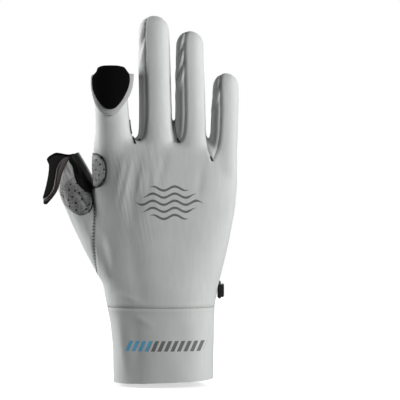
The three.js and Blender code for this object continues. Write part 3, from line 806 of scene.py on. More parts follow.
def holeLattice(bm, layer):
    # For each perforated face, its place on the cloth laid flat: `u` across, `v` along.
    centres = facesOf(bm)
    at = fieldsOf(centres)
    x, y, z = centres.T
    label = np.array([face[layer] for face in bm.faces])
    u, v = x.copy(), z.copy()
    zone = np.where(np.isin(label, [panelNames.index("palm_panel"), panelNames.index("heel_panel")]), 0, -1)
    for k, finger in enumerate(fingers):
        middle = fingerX(finger, z)
        half = finger["width"] / 2 + finger["flare"] + 1
        on = (zone == 0) & (z > finger["crotch"] + 3) & (np.abs(x - middle) < half)
        u = np.where(on, finger["centre"] + finger["width"] * 0.485 * np.arctan2(x - middle, y - spineY(z)), u)
        zone = np.where(on, k + 1, zone)
    along = (centres - thumbBase) @ thumbAxis
    middle = thumbBase + along[:, None] * thumbAxis
    middle[:, 1] += np.interp(along / thumb["length"], thumbRows[:, 0], thumbRows[:, 3]) * thumb["forward"]
    gap = centres - middle
    on = (label == panelNames.index("heel_panel")) & (along > 26) & (gap @ thumbSide < 13)
    u = np.where(on, thumb["width"] * 0.5 * np.arctan2(gap @ thumbSide, gap[:, 1]), u)
    v = np.where(on, along, v)
    zone = np.where(on, 5, zone)
    clear = np.min([np.abs(at[name]) for name in ("palm", "cuff", "heel", "knit")], 0)
    offSeam = np.minimum(np.minimum(at["palm"], np.abs(at["cuff"])), np.abs(at["knit"]))
    clear = np.where((at["palm"] > 0) & (np.abs(at["heel"]) > 1.6), offSeam, clear)
    return centres, u, v, np.where(clear < holes["clear"], -1, zone)


def punch(bm, faces, spots, radius):
    # a round hole in place of each face
    made = []
    for face, spot in zip(faces, spots):
        way = np.array(face.normal[:])
        for edge in list(face.edges):
            bmesh.utils.edge_split(edge, edge.verts[0], 0.5)
        corners = list(face.verts)
        middle = sum((np.array(vert.co[:]) for vert in corners), np.zeros(3)) / len(corners) / mm
        for vert in corners:
            arm = np.array(vert.co[:]) / mm - middle
            arm -= way * (arm @ way)
            arm /= np.linalg.norm(arm)
            vert.co = (spot + arm * radius) * mm
        made.append((spot, way))
    bmesh.ops.delete(bm, geom=faces, context="FACES_ONLY")
    bm.faces.ensure_lookup_table()
    bm.verts.ensure_lookup_table()
    return made


def punchLattice(bm, layer):
    centres, u, v, zone = holeLattice(bm, layer)
    used, faces, spots = set(), [], []
    for k in sorted(set(zone[zone >= 0])):
        members = np.nonzero(zone == k)[0]
        flat = np.stack([u[members], v[members]], 1)
        low, high = flat.min(0), flat.max(0)
        rows = np.arange(math.floor(low[1] / holes["row"]), math.ceil(high[1] / holes["row"]) + 1)
        columns = np.arange(math.floor(low[0] / holes["pitch"]) - 1, math.ceil(high[0] / holes["pitch"]) + 2)
        for row in rows:
            shift = 0.5 * (row % 2)
            for column in columns:
                wanted = np.array([(column + shift) * holes["pitch"], row * holes["row"]])
                gap = ((flat - wanted) ** 2).sum(1)
                best = int(gap.argmin())
                face = bm.faces[int(members[best])]
                if gap[best] > 0.5 or len(face.verts) != 4 or not used.isdisjoint(face.verts):
                    continue
                used.update(face.verts)
                way = Vector(face.normal)
                up = Vector(thumbAxis) if k == 5 else Vector((0, 0, 1))
                up = (up - way * up.dot(way)).normalized()
                across = way.cross(up)
                nudge = np.clip(wanted - flat[best], -0.35, 0.35)
                middle = np.array(face.calc_center_median()[:]) / mm
                faces.append(face)
                spots.append(middle + np.array(across[:]) * nudge[0] + np.array(up[:]) * nudge[1])
    return punch(bm, faces, spots, holes["radius"])


patchSource = sewn.copy()
holeSpots = punchLattice(sewn, panelLayer)
print("holes punched", len(holeSpots))


# pieces from sheets of points
def shellFrom(points, faces, ways, thick):
    # a wall: the faces, the same faces set back along `ways`, and its rims
    points, ways = np.asarray(points, float), np.asarray(ways, float)
    count = len(points)
    seen = {}
    for face in faces:
        for a, b in zip(face, face[1:] + face[:1]):
            seen[(a, b)] = True
    rim = [(a, b) for a, b in seen if (b, a) not in seen]
    walls = [(b, a, a + count, b + count) for a, b in rim]
    inner = [tuple(v + count for v in reversed(face)) for face in faces]
    sharp = rim + [(a + count, b + count) for a, b in rim]
    thick = np.broadcast_to(np.asarray(thick, float), (count,))
    return np.concatenate([points, points - ways * thick[:, None]]), list(faces) + inner + walls, sharp


def addPiece(name, points, faces, material, nodes=(), sharp=(), values=None, inside=None):
    item = makeObject(name, points, faces)
    mesh = item.data
    mesh.polygons.foreach_set("use_smooth", [True] * len(mesh.polygons))
    if sharp:
        pairs = np.empty(len(mesh.edges) * 2, np.int32)
        mesh.edges.foreach_get("vertices", pairs)
        pairs = np.sort(pairs.reshape(-1, 2), 1).astype(np.int64)
        wanted = np.sort(np.array(sharp), 1).astype(np.int64)
        code = lambda rows: rows[:, 0] * 10 ** 7 + rows[:, 1]
        mesh.edges.foreach_set("use_edge_sharp", np.isin(code(pairs), code(wanted)))
    if values is not None:
        near = mesh.attributes.new("seamNear", "FLOAT", "POINT")
        near.data.foreach_set("value", np.asarray(values, np.float32))
    mesh.materials.append(material)
    if inside is not None and len(mesh.polygons) == len(faces):
        mesh.materials.append(inside[0])
        index = np.zeros(len(faces), np.int32)
        index[inside[1]:2 * inside[1]] = 1
        mesh.polygons.foreach_set("material_index", index)
    return keepPiece(item, nodes)


def keepPiece(item, nodes=()):
    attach(item, "root")
    if nodes:
        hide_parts(*nodes)
    return item


def tubeAlong(spots, radius, sides=8, closed=False):
    spots = np.asarray(spots, float)
    if closed:
        ways = np.roll(spots, -1, 0) - np.roll(spots, 1, 0)
    else:
        ways = np.gradient(spots, axis=0)
    ways /= np.linalg.norm(ways, axis=1)[:, None]
    side = np.cross(ways[0], [0.3, 0.2, 1.0])
    rings = []
    for k in range(len(spots)):
        side = side - ways[k] * (side @ ways[k])
        side /= np.linalg.norm(side)
        other = np.cross(ways[k], side)
        angle = np.linspace(0, 2 * np.pi, sides, endpoint=False)[:, None]
        rings.append(spots[k] + radius * (np.cos(angle) * side + np.sin(angle) * other))
    if not closed:
        return loft(rings)
    points, faces = np.concatenate(rings), []
    for r in range(len(rings)):
        for k in range(sides):
            a, b = r * sides + k, r * sides + (k + 1) % sides
            c, d = ((r + 1) % len(rings)) * sides + (k + 1) % sides, ((r + 1) % len(rings)) * sides + k
            faces.append((a, b, c, d))
    return points, faces


def facingOut(points, faces):
    # turns a closed shape the right way out
    points = np.asarray(points)
    total = 0.0
    for face in faces:
        for k in range(1, len(face) - 1):
            total += points[face[0]] @ np.cross(points[face[k]], points[face[k + 1]])
    return points, faces if total > 0 else [tuple(reversed(face)) for face in faces]


def joinParts(parts):
    points, faces, start = [], [], 0
    for some, these in parts:
        points.append(some)
        faces += [tuple(v + start for v in face) for face in these]
        start += len(some)
    return np.concatenate(points), faces


# node trees
class Wires:
    # short words for building a node tree
    def __init__(self, tree):
        self.tree = tree

    def node(self, kind, inputs=None, **settings):
        node = self.tree.nodes.new(kind)
        for key, value in settings.items():
            setattr(node, key, value)
        for key, value in (inputs or {}).items():
            self.put(node.inputs[key], value)
        return node

    def first(self, kind, inputs=None, **settings):
        return self.node(kind, inputs, **settings).outputs[0]

    def put(self, socket, value):
        if isinstance(value, bpy.types.NodeSocket):
            self.tree.links.new(value, socket)
        else:
            socket.default_value = value

    def math(self, operation, *values, clamp=False):
        node = self.node("ShaderNodeMath", operation=operation, use_clamp=clamp)
        for socket, value in zip(node.inputs, values):
            self.put(socket, value)
        return node.outputs[0]

    def mix(self, factor, a, b):
        node = self.node("ShaderNodeMix", data_type="RGBA")
        for index, value in ((0, factor), (6, a), (7, b)):
            self.put(node.inputs[index], value)
        return node.outputs[2]

    def ramp(self, value, low, high, toLow=0.0, toHigh=1.0):
        limits = {"Value": value, "From Min": low, "From Max": high, "To Min": toLow, "To Max": toHigh}
        return self.first("ShaderNodeMapRange", limits, interpolation_type="SMOOTHSTEP")

    def xyz(self, vector):
        return self.node("ShaderNodeSeparateXYZ", {"Vector": vector}).outputs

    def noise(self, vector, scale, detail=3.0, rough=0.5):
        settings = {"Vector": vector, "Scale": scale, "Detail": detail, "Roughness": rough}
        return self.node("ShaderNodeTexNoise", settings).outputs["Fac"]


def newGroup(name, inputs, outputs, kind="ShaderNodeTree"):
    tree = bpy.data.node_groups.new(name, kind)
    for label, socketType, value in inputs:
        socket = tree.interface.new_socket(name=label, in_out="INPUT", socket_type=socketType)
        if value is not None:
            socket.default_value = value
    for label, socketType in outputs:
        tree.interface.new_socket(name=label, in_out="OUTPUT", socket_type=socketType)
    wires = Wires(tree)
    return wires, wires.node("NodeGroupInput").outputs, wires.node("NodeGroupOutput").inputs


number, colour, vector = "NodeSocketFloat", "NodeSocketColor", "NodeSocketVector"


def knitLoops():
    # rows of small loops in the cloth: `Height` for a bump, `Shade` for the cloth's unevenness
    w, given, out = newGroup(
        "knitLoops", [("Vector", vector, None), ("Loops per metre", number, 1500.0), ("Streak", number, 1.0)],
        [("Height", number), ("Shade", number)]
    )
    parts = w.xyz(given["Vector"])
    across = w.math("MULTIPLY_ADD", parts["Y"], 0.83, parts["X"])
    turn = w.math("MULTIPLY", given["Loops per metre"], 6.2832)
    rowWave = w.math("SINE", w.math("MULTIPLY", parts["Z"], turn))
    bend = w.math(
        "MULTIPLY",
        w.math("ABSOLUTE", w.math("SINE", w.math("MULTIPLY", across, w.math("MULTIPLY", turn, 0.5)))), 0.9
    )
    loops = w.math("MULTIPLY_ADD", rowWave, 0.35, bend)
    broad = w.noise(given["Vector"], 26.0, 3.0, 0.55)
    stretched = w.first(
        "ShaderNodeMapping",
        {"Vector": given["Vector"], "Scale": (1.0, 1.0, 0.16), "Rotation": (0.0, 0.12, 0.0)}
    )
    streaks = w.noise(stretched, 420.0, 2.0, 0.6)
    speck = w.noise(given["Vector"], 1500.0, 2.0, 0.7)
    shade = w.math(
        "MULTIPLY_ADD", w.math("SUBTRACT", streaks, 0.5), w.math("MULTIPLY", given["Streak"], 0.3),
        w.math("MULTIPLY_ADD", speck, 0.16, w.math("MULTIPLY", broad, 0.36))
    )
    w.put(out["Height"], loops)
    w.put(out["Shade"], shade)
    return w.tree


def fineWrinkles():
    # slanting fine creases of stretched cloth within a round patch
    w, given, out = newGroup("fineWrinkles", [
        ("Vector", vector, None), ("Middle X", number, 0.0), ("Middle Z", number, 0.0),
        ("Half width", number, 0.02), ("Half height", number, 0.03),
        ("Slant", number, 0.2), ("Creases per metre", number, 500.0),
    ], [("Height", number)])
    parts = w.xyz(given["Vector"])
    x = w.math("SUBTRACT", parts["X"], given["Middle X"])
    z = w.math("SUBTRACT", parts["Z"], given["Middle Z"])
    u, v = w.math("DIVIDE", x, given["Half width"]), w.math("DIVIDE", z, given["Half height"])
    far = w.math("SQRT", w.math("ADD", w.math("MULTIPLY", u, u), w.math("MULTIPLY", v, v)))
    across = w.math("MULTIPLY_ADD", z, given["Slant"], x)
    flat = w.first("ShaderNodeCombineXYZ", {"X": across, "Y": 0.0, "Z": w.math("MULTIPLY", z, 0.09)})
    creases = w.noise(flat, given["Creases per metre"], 2.0, 0.5)
    w.put(out["Height"], w.math("MULTIPLY", creases, w.ramp(far, 1.0, 0.35)))
    return w.tree


def suedeNap():
    # mottled brushed face of the palm cloth
    w, given, out = newGroup(
        "suedeNap", [("Vector", vector, None), ("Fleck", number, 1.0)], [("Height", number), ("Shade", number)]
    )
    broad = w.noise(given["Vector"], 90.0, 4.0, 0.6)
    fine = w.noise(given["Vector"], 900.0, 3.0, 0.75)
    flecks = w.node("ShaderNodeTexVoronoi", {"Vector": given["Vector"], "Scale": 700.0}, feature="F1")
    flecks = flecks.outputs["Distance"]
    fleck = w.math("MULTIPLY", w.ramp(flecks, 0.25, 0.75), given["Fleck"])
    w.put(
        out["Shade"],
        w.math("MULTIPLY_ADD", fleck, 0.25, w.math("MULTIPLY_ADD", fine, 0.55, w.math("MULTIPLY", broad, 0.45)))
    )
    w.put(out["Height"], w.math("MULTIPLY_ADD", fleck, 0.5, fine))
    return w.tree


def waveMotif():
    # stacked wavy lines, shorter above and below
    w, given, out = newGroup("waveMotif", [
        ("Vector", vector, None), ("Middle X", number, 0.0), ("Middle Z", number, 0.0),
        ("Half width", number, 0.02), ("Rows", number, 2.0), ("Pitch", number, 0.004), ("Line", number, 0.001),
        ("Swing", number, 0.001), ("Wave length", number, 0.012), ("Shorter", number, 0.003),
    ], [("Mask", number)])
    parts = w.xyz(given["Vector"])
    x = w.math("SUBTRACT", parts["X"], given["Middle X"])
    swing = w.math(
        "MULTIPLY", w.math("SINE", w.math("DIVIDE", w.math("MULTIPLY", x, 6.2832), given["Wave length"])),
        given["Swing"]
    )
    level = w.math(
        "DIVIDE", w.math("SUBTRACT", w.math("SUBTRACT", parts["Z"], given["Middle Z"]), swing), given["Pitch"]
    )
    row = w.math("ROUND", level)
    off = w.math("MULTIPLY", w.math("ABSOLUTE", w.math("SUBTRACT", level, row)), given["Pitch"])
    away = w.math("ABSOLUTE", row)
    endAt = w.math("SUBTRACT", given["Half width"], w.math("MULTIPLY", away, given["Shorter"]))
    taper = w.math("MULTIPLY", w.math("SUBTRACT", endAt, w.math("ABSOLUTE", x)), 0.16)
    line = w.math("MINIMUM", w.math("MULTIPLY", given["Line"], 0.5), taper)
    inked = w.math("GREATER_THAN", line, off)
    w.put(out["Mask"], w.math("MULTIPLY", inked, w.math("LESS_THAN", away, w.math("ADD", given["Rows"], 0.5))))
    return w.tree


def barMotif():
    # a row of slanted bars, with some of them in a second colour
    w, given, out = newGroup("barMotif", [
        ("Vector", vector, None), ("From X", number, 0.0), ("To X", number, 0.02),
        ("Low Z", number, 0.0), ("High Z", number, 0.006), ("Pitch", number, 0.004),
        ("Width", number, 0.55), ("Slant", number, 0.4), ("Accent to X", number, 0.005),
    ], [("Mask", number), ("Accent", number)])
    parts = w.xyz(given["Vector"])
    x = w.math(
        "SUBTRACT", parts["X"],
        w.math("MULTIPLY", w.math("SUBTRACT", parts["Z"], given["Low Z"]), given["Slant"])
    )
    share = w.math("DIVIDE", w.math("SUBTRACT", x, given["From X"]), given["Pitch"])
    bar = w.math("LESS_THAN", w.math("FRACT", share), given["Width"])
    inside = w.math(
        "MULTIPLY", w.math("GREATER_THAN", x, given["From X"]), w.math("LESS_THAN", x, given["To X"])
    )
    high = w.math(
        "MULTIPLY", w.math("GREATER_THAN", parts["Z"], given["Low Z"]),
        w.math("LESS_THAN", parts["Z"], given["High Z"])
    )
    facing = w.math("LESS_THAN", parts["Y"], 0.0)
    w.put(out["Mask"], w.math("MULTIPLY", w.math("MULTIPLY", bar, inside), w.math("MULTIPLY", high, facing)))
    w.put(out["Accent"], w.math("LESS_THAN", x, given["Accent to X"]))
    return w.tree


def seamShade():
    # painted shade: the cloth darker in and beside its seams, broken up by noise
    w, given, out = newGroup(
        "seamShade",
        [
            ("Base", colour, (0.5, 0.5, 0.5, 1)), ("Seam", number, 0.0), ("Depth", number, 0.3),
            ("Vector", vector, None)
        ],
        [("Color", colour)]
    )
    broken = w.math("MULTIPLY_ADD", w.noise(given["Vector"], 800.0, 2.0, 0.6), 0.8, 0.5)
    amount = w.math("MULTIPLY", w.math("MULTIPLY", given["Seam"], broken), given["Depth"], clamp=True)
    w.put(out["Color"], w.mix(amount, given["Base"], (0.06, 0.06, 0.06, 1)))
    return w.tree


groups = {make.__name__: make() for make in (knitLoops, fineWrinkles, suedeNap, waveMotif, barMotif, seamShade)}


def newMaterial(name):
    material = bpy.data.materials.new(name)
    material.use_nodes = True
    material.node_tree.nodes.clear()
    w = Wires(material.node_tree)
    shader = w.node("ShaderNodeBsdfPrincipled")
    w.tree.links.new(shader.outputs[0], w.node("ShaderNodeOutputMaterial").inputs["Surface"])
    place = w.node("ShaderNodeTexCoord").outputs["Object"]
    return material, w, shader, place


def useGroup(w, name, place, **values):
    node = w.node("ShaderNodeGroup", node_tree=groups[name])
    w.put(node.inputs["Vector"], place)
    for key, value in values.items():
        w.put(node.inputs[key], value)
    return node.outputs


# the cloth's colour with painted shade laid along its seams
def seamShadedColour(w, shader, place, cloth, depth):
    seam = w.node("ShaderNodeAttribute", attribute_name="seamNear", attribute_type="GEOMETRY").outputs["Fac"]
    shaded = useGroup(w, "seamShade", place, Base=cloth, Seam=seam, Depth=depth)
    w.put(shader.inputs["Base Color"], shaded["Color"])


def bumped(w, shader, height, strength, distance):
    bump = w.node("ShaderNodeBump", {"Strength": strength, "Distance": distance, "Height": height})
    w.put(shader.inputs["Normal"], bump.outputs[0])


waves = {
    "Middle X": 0.0042, "Middle Z": 0.1165, "Half width": 0.0225, "Rows": 2.0, "Pitch": 0.0046,
    "Line": 0.0016, "Swing": 0.0013, "Wave length": 0.0142, "Shorter": 0.0048,
}
bars = {
    "From X": -0.0245, "To X": 0.026, "Low Z": 0.0205, "High Z": 0.0273,
    "Pitch": 0.0042, "Width": 0.6, "Slant": 0.45, "Accent to X": -0.0098,
}
inks = {"grey": (0.115, 0.12, 0.115, 1), "blue": (0.1, 0.42, 0.66, 1), "waves": 0.93, "bars": 0.92}


def knitMaterial(name, tone, streak=1.0, motif=None, sheen=0.12, wrinkles=None, gloss=0.25):
    material, w, shader, place = newMaterial(name)
    loops = useGroup(w, "knitLoops", place, Streak=streak)
    dark = tuple(c * 0.9 for c in tone) + (1,)
    light = tuple(min(1, c * 1.06) for c in tone) + (1,)
    cloth = w.mix(w.ramp(loops["Shade"], 0.05, 0.5), dark, light)
    if motif == "waves":
        ink = useGroup(w, "waveMotif", place, **waves)
        front = w.math("LESS_THAN", w.xyz(place)["Y"], -0.004)
        cloth = w.mix(
            w.math("MULTIPLY", w.math("MULTIPLY", ink["Mask"], front), inks["waves"]), cloth, inks["grey"]
        )
    if motif == "bars":
        ink = useGroup(w, "barMotif", place, **bars)
        inkColour = w.mix(ink["Accent"], inks["grey"], inks["blue"])
        cloth = w.mix(w.math("MULTIPLY", ink["Mask"], inks["bars"]), cloth, inkColour)
    seamShadedColour(w, shader, place, cloth, 0.2)
    w.put(shader.inputs["Roughness"], w.ramp(loops["Shade"], 0.1, 0.6, 0.72, 0.6))
    shader.inputs["Specular IOR Level"].default_value = gloss
    shader.inputs["Sheen Weight"].default_value = sheen
    shader.inputs["Sheen Roughness"].default_value = 0.4
    fine = w.first("ShaderNodeBump", {"Strength": 0.14, "Distance": 0.00018, "Height": loops["Height"]})
    if wrinkles:
        height = useGroup(w, "fineWrinkles", place, **wrinkles)["Height"]
        fine = w.first(
            "ShaderNodeBump", {"Strength": 0.22, "Distance": 0.0012, "Height": height, "Normal": fine}
        )
    w.put(shader.inputs["Normal"], fine)
    return material


def suedeMaterial(name, tone, fleck=1.0, contrast=0.4, paleFrom=None):
    material, w, shader, place = newMaterial(name)
    nap = useGroup(w, "suedeNap", place, Fleck=fleck)
    dark = tuple(c * (1 - contrast) for c in tone) + (1,)
    light = tuple(c * (1 + contrast * 0.6) for c in tone) + (1,)
    cloth = w.mix(w.ramp(nap["Shade"], 0.3, 0.8), dark, light)
    if paleFrom:
        height = w.xyz(place)["Z"]
        uneven = w.math("MULTIPLY_ADD", w.noise(place, 260.0, 2.0, 0.5), 0.012, height)
        cloth = w.mix(w.ramp(uneven, paleFrom[0] + 0.006, paleFrom[1] + 0.006), cloth, (0.42, 0.43, 0.42, 1))
    seamShadedColour(w, shader, place, cloth, 0.5)
    w.put(shader.inputs["Roughness"], w.ramp(nap["Shade"], 0.3, 0.8, 0.9, 0.74))
    shader.inputs["Sheen Weight"].default_value = 0.3
    bumped(w, shader, nap["Height"], 0.3, 0.00022)
    return material


def darkMaterial(name, tone, rough, scale, strength, sheen=0.0, ribs=None, gloss=0.5):
    # black or dark cloth and thread
    material, w, shader, place = newMaterial(name)
    grain = w.noise(place, scale, 3.0, 0.65)
    light = tuple(c * 1.9 + 0.002 for c in tone) + (1,)
    w.put(shader.inputs["Base Color"], w.mix(w.ramp(grain, 0.35, 0.75), tone + (1,), light))
    w.put(shader.inputs["Roughness"], w.ramp(grain, 0.3, 0.7, rough - 0.06, rough + 0.06))
    shader.inputs["Sheen Weight"].default_value = sheen
    shader.inputs["Specular IOR Level"].default_value = gloss
    height = grain
    if ribs:
        parts = w.xyz(place)
        wave = w.math("SINE", w.math("MULTIPLY", w.math("ADD", parts["X"], parts["Y"]), ribs))
        rows = w.math("SINE", w.math("MULTIPLY", parts["Z"], ribs))
        height = w.math("MULTIPLY_ADD", w.math("MULTIPLY", wave, rows), 0.5, grain)
    bumped(w, shader, height, strength, 0.0003)
    return material


knitTone = (0.56, 0.575, 0.565)
creases = {
    "Middle X": -0.018, "Middle Z": 0.124, "Half width": 0.034, "Half height": 0.052,
    "Slant": 0.2, "Creases per metre": 430.0,
}
finishes = {
    "knit": knitMaterial("knit_cloth", knitTone),
    "back": knitMaterial("knit_back", knitTone, motif="waves", wrinkles=creases),
    "cuff": knitMaterial("knit_cuff", knitTone, streak=0.7, motif="bars"),
    # painted light: the gussets are the same knit, made lighter to lift the shade between the fingers
    "gusset": knitMaterial("knit_gusset", (0.611, 0.624, 0.617), streak=1.6),
    "rim": knitMaterial("knit_rim", (0.37, 0.375, 0.37), streak=0.6),
    # painted shade: the thumb cap is the same knit, darkened to brown-black; its edge line is the knit darkened
    # less
    "shadedThumbCap": knitMaterial("knit_thumb_cap_shaded", (0.05, 0.04, 0.04), streak=0.6, sheen=0.0, gloss=0.04),
    "shadedThumbEdge": knitMaterial("knit_thumb_edge_shaded", (0.24, 0.2, 0.2), streak=0.6, sheen=0.0, gloss=0.1),
    "palm": suedeMaterial("perforated_suede", (0.275, 0.287, 0.275), fleck=1.3, contrast=0.52),
    # the cloth's darker reverse side, darkened further as painted shade for the inside of the glove
    "reverse": suedeMaterial("cloth_reverse", (0.1, 0.102, 0.1), fleck=0.3, contrast=0.25),
    "patch": suedeMaterial("patch_suede", (0.4, 0.41, 0.4), fleck=1.2, contrast=0.5),
    "hole": darkMaterial("hole_shadow", (0.004, 0.004, 0.004), 0.9, 900.0, 0.1, gloss=0.05),
    "midThread": darkMaterial("mid_thread", (0.16, 0.163, 0.16), 0.6, 2200.0, 0.3),
    "darkThread": darkMaterial("dark_thread", (0.03, 0.031, 0.03), 0.6, 2200.0, 0.3),
    "thumbPatch": suedeMaterial(
        "thumb_patch_suede", (0.175, 0.18, 0.175), fleck=0.8, contrast=0.5, paleFrom=(0.124, 0.136)
    ),
    "lining": darkMaterial("black_lining", (0.002, 0.002, 0.0022), 0.92, 1400.0, 0.35, gloss=0.04),
    "stretch": darkMaterial("black_stretch", (0.006, 0.0055, 0.0055), 0.42, 500.0, 0.12, gloss=0.28),
    "piping": darkMaterial("black_piping", (0.006, 0.006, 0.006), 0.55, 1200.0, 0.3),
    "thread": darkMaterial("grey_thread", (0.2, 0.205, 0.2), 0.6, 2200.0, 0.3),
    "paleThread": darkMaterial("pale_thread", (0.4, 0.41, 0.4), 0.6, 2200.0, 0.3),
    "webbing": darkMaterial("black_webbing", (0.008, 0.008, 0.008), 0.6, 900.0, 0.6, ribs=5200.0, gloss=0.06),
    "tab": darkMaterial("grey_tab", (0.13, 0.135, 0.13), 0.5, 600.0, 0.12),
}
print("materials ready")


# cloth panels
panelFinish = {
    "cuff": ("cuff", "knit"), "back_panel": ("back", "knit"), "thumb_panel": ("knit", "knit"),
    "palm_panel": ("palm", "perforated"), "heel_panel": ("palm", "perforated")
}


def addPanels(bm, layer):
    bm.normal_update()
    bm.verts.ensure_lookup_table()
    bm.verts.index_update()
    points = vertsOf(bm)
    ways = np.array([vert.normal[:] for vert in bm.verts])
    seam = seamDistance(points)
    faces = {name: [] for name in panelNames}
    for face in bm.faces:
        faces[panelNames[face[layer]]].append(tuple(vert.index for vert in face.verts))
    for name in panelNames:
        used = sorted({v for face in faces[name] for v in face})
        fresh = {v: k for k, v in enumerate(used)}
        own = [tuple(fresh[v] for v in face) for face in faces[name]]
        thick = np.full(len(used), hand["cloth"])
        if name == "cuff":
            thick = thick + hand["hemExtra"] * smoothStep((8 - points[used, 2]) / 4)
        spots, walls, sharp = shellFrom(points[used], own, ways[used], thick)
        look, slot = panelFinish.get(name, ("gusset", "knit"))
        # gussets take the lighter copy of the knit, painted light
        # inner faces take the reverse finish: the reverse's own darker tone plus painted shade inside the glove
        addPiece(
            name + "_cloth", spots, walls, finishes[look], [name], sharp, np.tile(seam[used], 2),
            (finishes["reverse"], len(own))
        )


addPanels(sewn, panelLayer)
print("panels ready")


# repeated details
geometry, material = "NodeSocketGeometry", "NodeSocketMaterial"


def newTree(name, inputs):
    sockets = [("Geometry", geometry, None)] + inputs + [("Material", material, None)]
    w, given, out = newGroup(name, sockets, [("Geometry", geometry)], "GeometryNodeTree")
    w.tree.is_modifier = True
    up = w.node("GeometryNodeInputNamedAttribute", {"Name": "up"}, data_type="FLOAT_VECTOR")
    raised = w.first("FunctionNodeAlignRotationToVector", {"Vector": up.outputs["Attribute"]}, axis="Z")
    return w, given, out, raised


def placeAll(w, given, out, points, shape, rotation):
    # the shape at each point, made real and given its material
    placed = w.first(
        "GeometryNodeInstanceOnPoints", {"Points": points, "Instance": shape, "Rotation": rotation}
    )
    real = w.first("GeometryNodeRealizeInstances", {"Geometry": placed})
    finished = w.first("GeometryNodeSetMaterial", {"Geometry": real, "Material": given["Material"]})
    w.put(out["Geometry"], finished)


def stitchTree():
    w, given, out, raised = newTree("stitchRun", [
        ("Pitch", number, 0.0016), ("Length", number, 0.0012), ("Thread", number, 0.0002),
        ("Slant", number, 0.0),
    ])
    curve = w.first("GeometryNodeMeshToCurve", {"Mesh": given["Geometry"]})
    even = w.node("GeometryNodeResampleCurve", {"Curve": curve}, mode="LENGTH")
    w.put(even.inputs["Length"], given["Pitch"])
    tangent = w.first("GeometryNodeInputTangent")
    turned = w.first(
        "FunctionNodeAlignRotationToVector", {"Rotation": raised, "Vector": tangent}, axis="X", pivot_axis="Z"
    )
    index = w.first("GeometryNodeInputIndex")
    parity = w.math("MULTIPLY_ADD", w.math("MODULO", index, 2.0), 2.0, -1.0)
    lean = w.first(
        "FunctionNodeAxisAngleToRotation",
        {"Axis": (0, 0, 1), "Angle": w.math("MULTIPLY", parity, given["Slant"])}
    )
    zigzag = w.first(
        "FunctionNodeRotateRotation", {"Rotation": turned, "Rotate By": lean}, rotation_space="LOCAL"
    )
    ball = w.first("GeometryNodeMeshUVSphere", {"Segments": 6, "Rings": 4, "Radius": 1.0})
    size = w.first(
        "ShaderNodeCombineXYZ",
        {"X": w.math("MULTIPLY", given["Length"], 0.5), "Y": given["Thread"], "Z": given["Thread"]}
    )
    stitch = w.first("GeometryNodeTransform", {"Geometry": ball, "Scale": size})
    placeAll(w, given, out, even.outputs[0], stitch, zigzag)
    return w.tree


def holeEdgeTree(backed):
    # a ring at each point, with a dark disc in it where the hole doesn't go through
    w, given, out, raised = newTree(
        "backedHoles" if backed else "holeEdges", [("Radius", number, 0.0005), ("Edge", number, 0.0001)]
    )
    ring = w.first("GeometryNodeCurvePrimitiveCircle", {"Resolution": 8, "Radius": given["Radius"]})
    profile = w.first("GeometryNodeCurvePrimitiveCircle", {"Resolution": 4, "Radius": given["Edge"]})
    wire = w.first("GeometryNodeCurveToMesh", {"Curve": ring, "Profile Curve": profile})
    if backed:
        disc = w.first(
            "GeometryNodeMeshCircle", {"Vertices": 8, "Radius": given["Radius"]}, fill_type="TRIANGLE_FAN"
        )
        sunk = w.first("GeometryNodeTransform", {"Geometry": disc, "Translation": (0.0, 0.0, -0.00035)})
        shape = w.node("GeometryNodeJoinGeometry")
        w.tree.links.new(wire, shape.inputs[0])
        w.tree.links.new(sunk, shape.inputs[0])
        wire = shape.outputs[0]
    placeAll(w, given, out, given["Geometry"], wire, raised)
    return w.tree


trees = {"stitch": stitchTree(), "hole": holeEdgeTree(False), "backedHole": holeEdgeTree(True)}


def grown(name, tree, lines, values, lift=0.0, joined=True):
    # runs of points with their normals become the tree's repeated pieces
    points, pairs, ups, start = [], [], [], 0
    for spots, ways in lines:
        points.append(spots + ways * lift)
        ups.append(ways)
        if joined:
            pairs += [(start + k, start + k + 1) for k in range(len(spots) - 1)]
        start += len(spots)
    mesh = bpy.data.meshes.new(name)
    mesh.from_pydata((np.concatenate(points) * mm).tolist(), pairs, [])
    up = mesh.attributes.new("up", "FLOAT_VECTOR", "POINT")
    up.data.foreach_set("vector", np.concatenate(ups).astype(np.float32).ravel())
    item = bpy.data.objects.new(name, mesh)
    bpy.context.scene.collection.objects.link(item)
    modifier = item.modifiers.new("grow", "NODES")
    modifier.node_group = tree
    for socket in tree.interface.items_tree:
        if socket.in_out == "INPUT" and socket.name in values:
            modifier[socket.identifier] = values[socket.name]
    mesh = plainMesh(item)
    mesh.polygons.foreach_set("use_smooth", [True] * len(mesh.polygons))
    return keepPiece(item)


def runsBetween(*pairs):
    return [evenRun(*run, 0.8) for a, b in pairs for run in runs.get((a, b), []) + runs.get((b, a), [])]


def asRun(pairs):
    # single spots with their normals, in the form of one run
    return np.array([spot for spot, way in pairs]), np.array([way for spot, way in pairs])


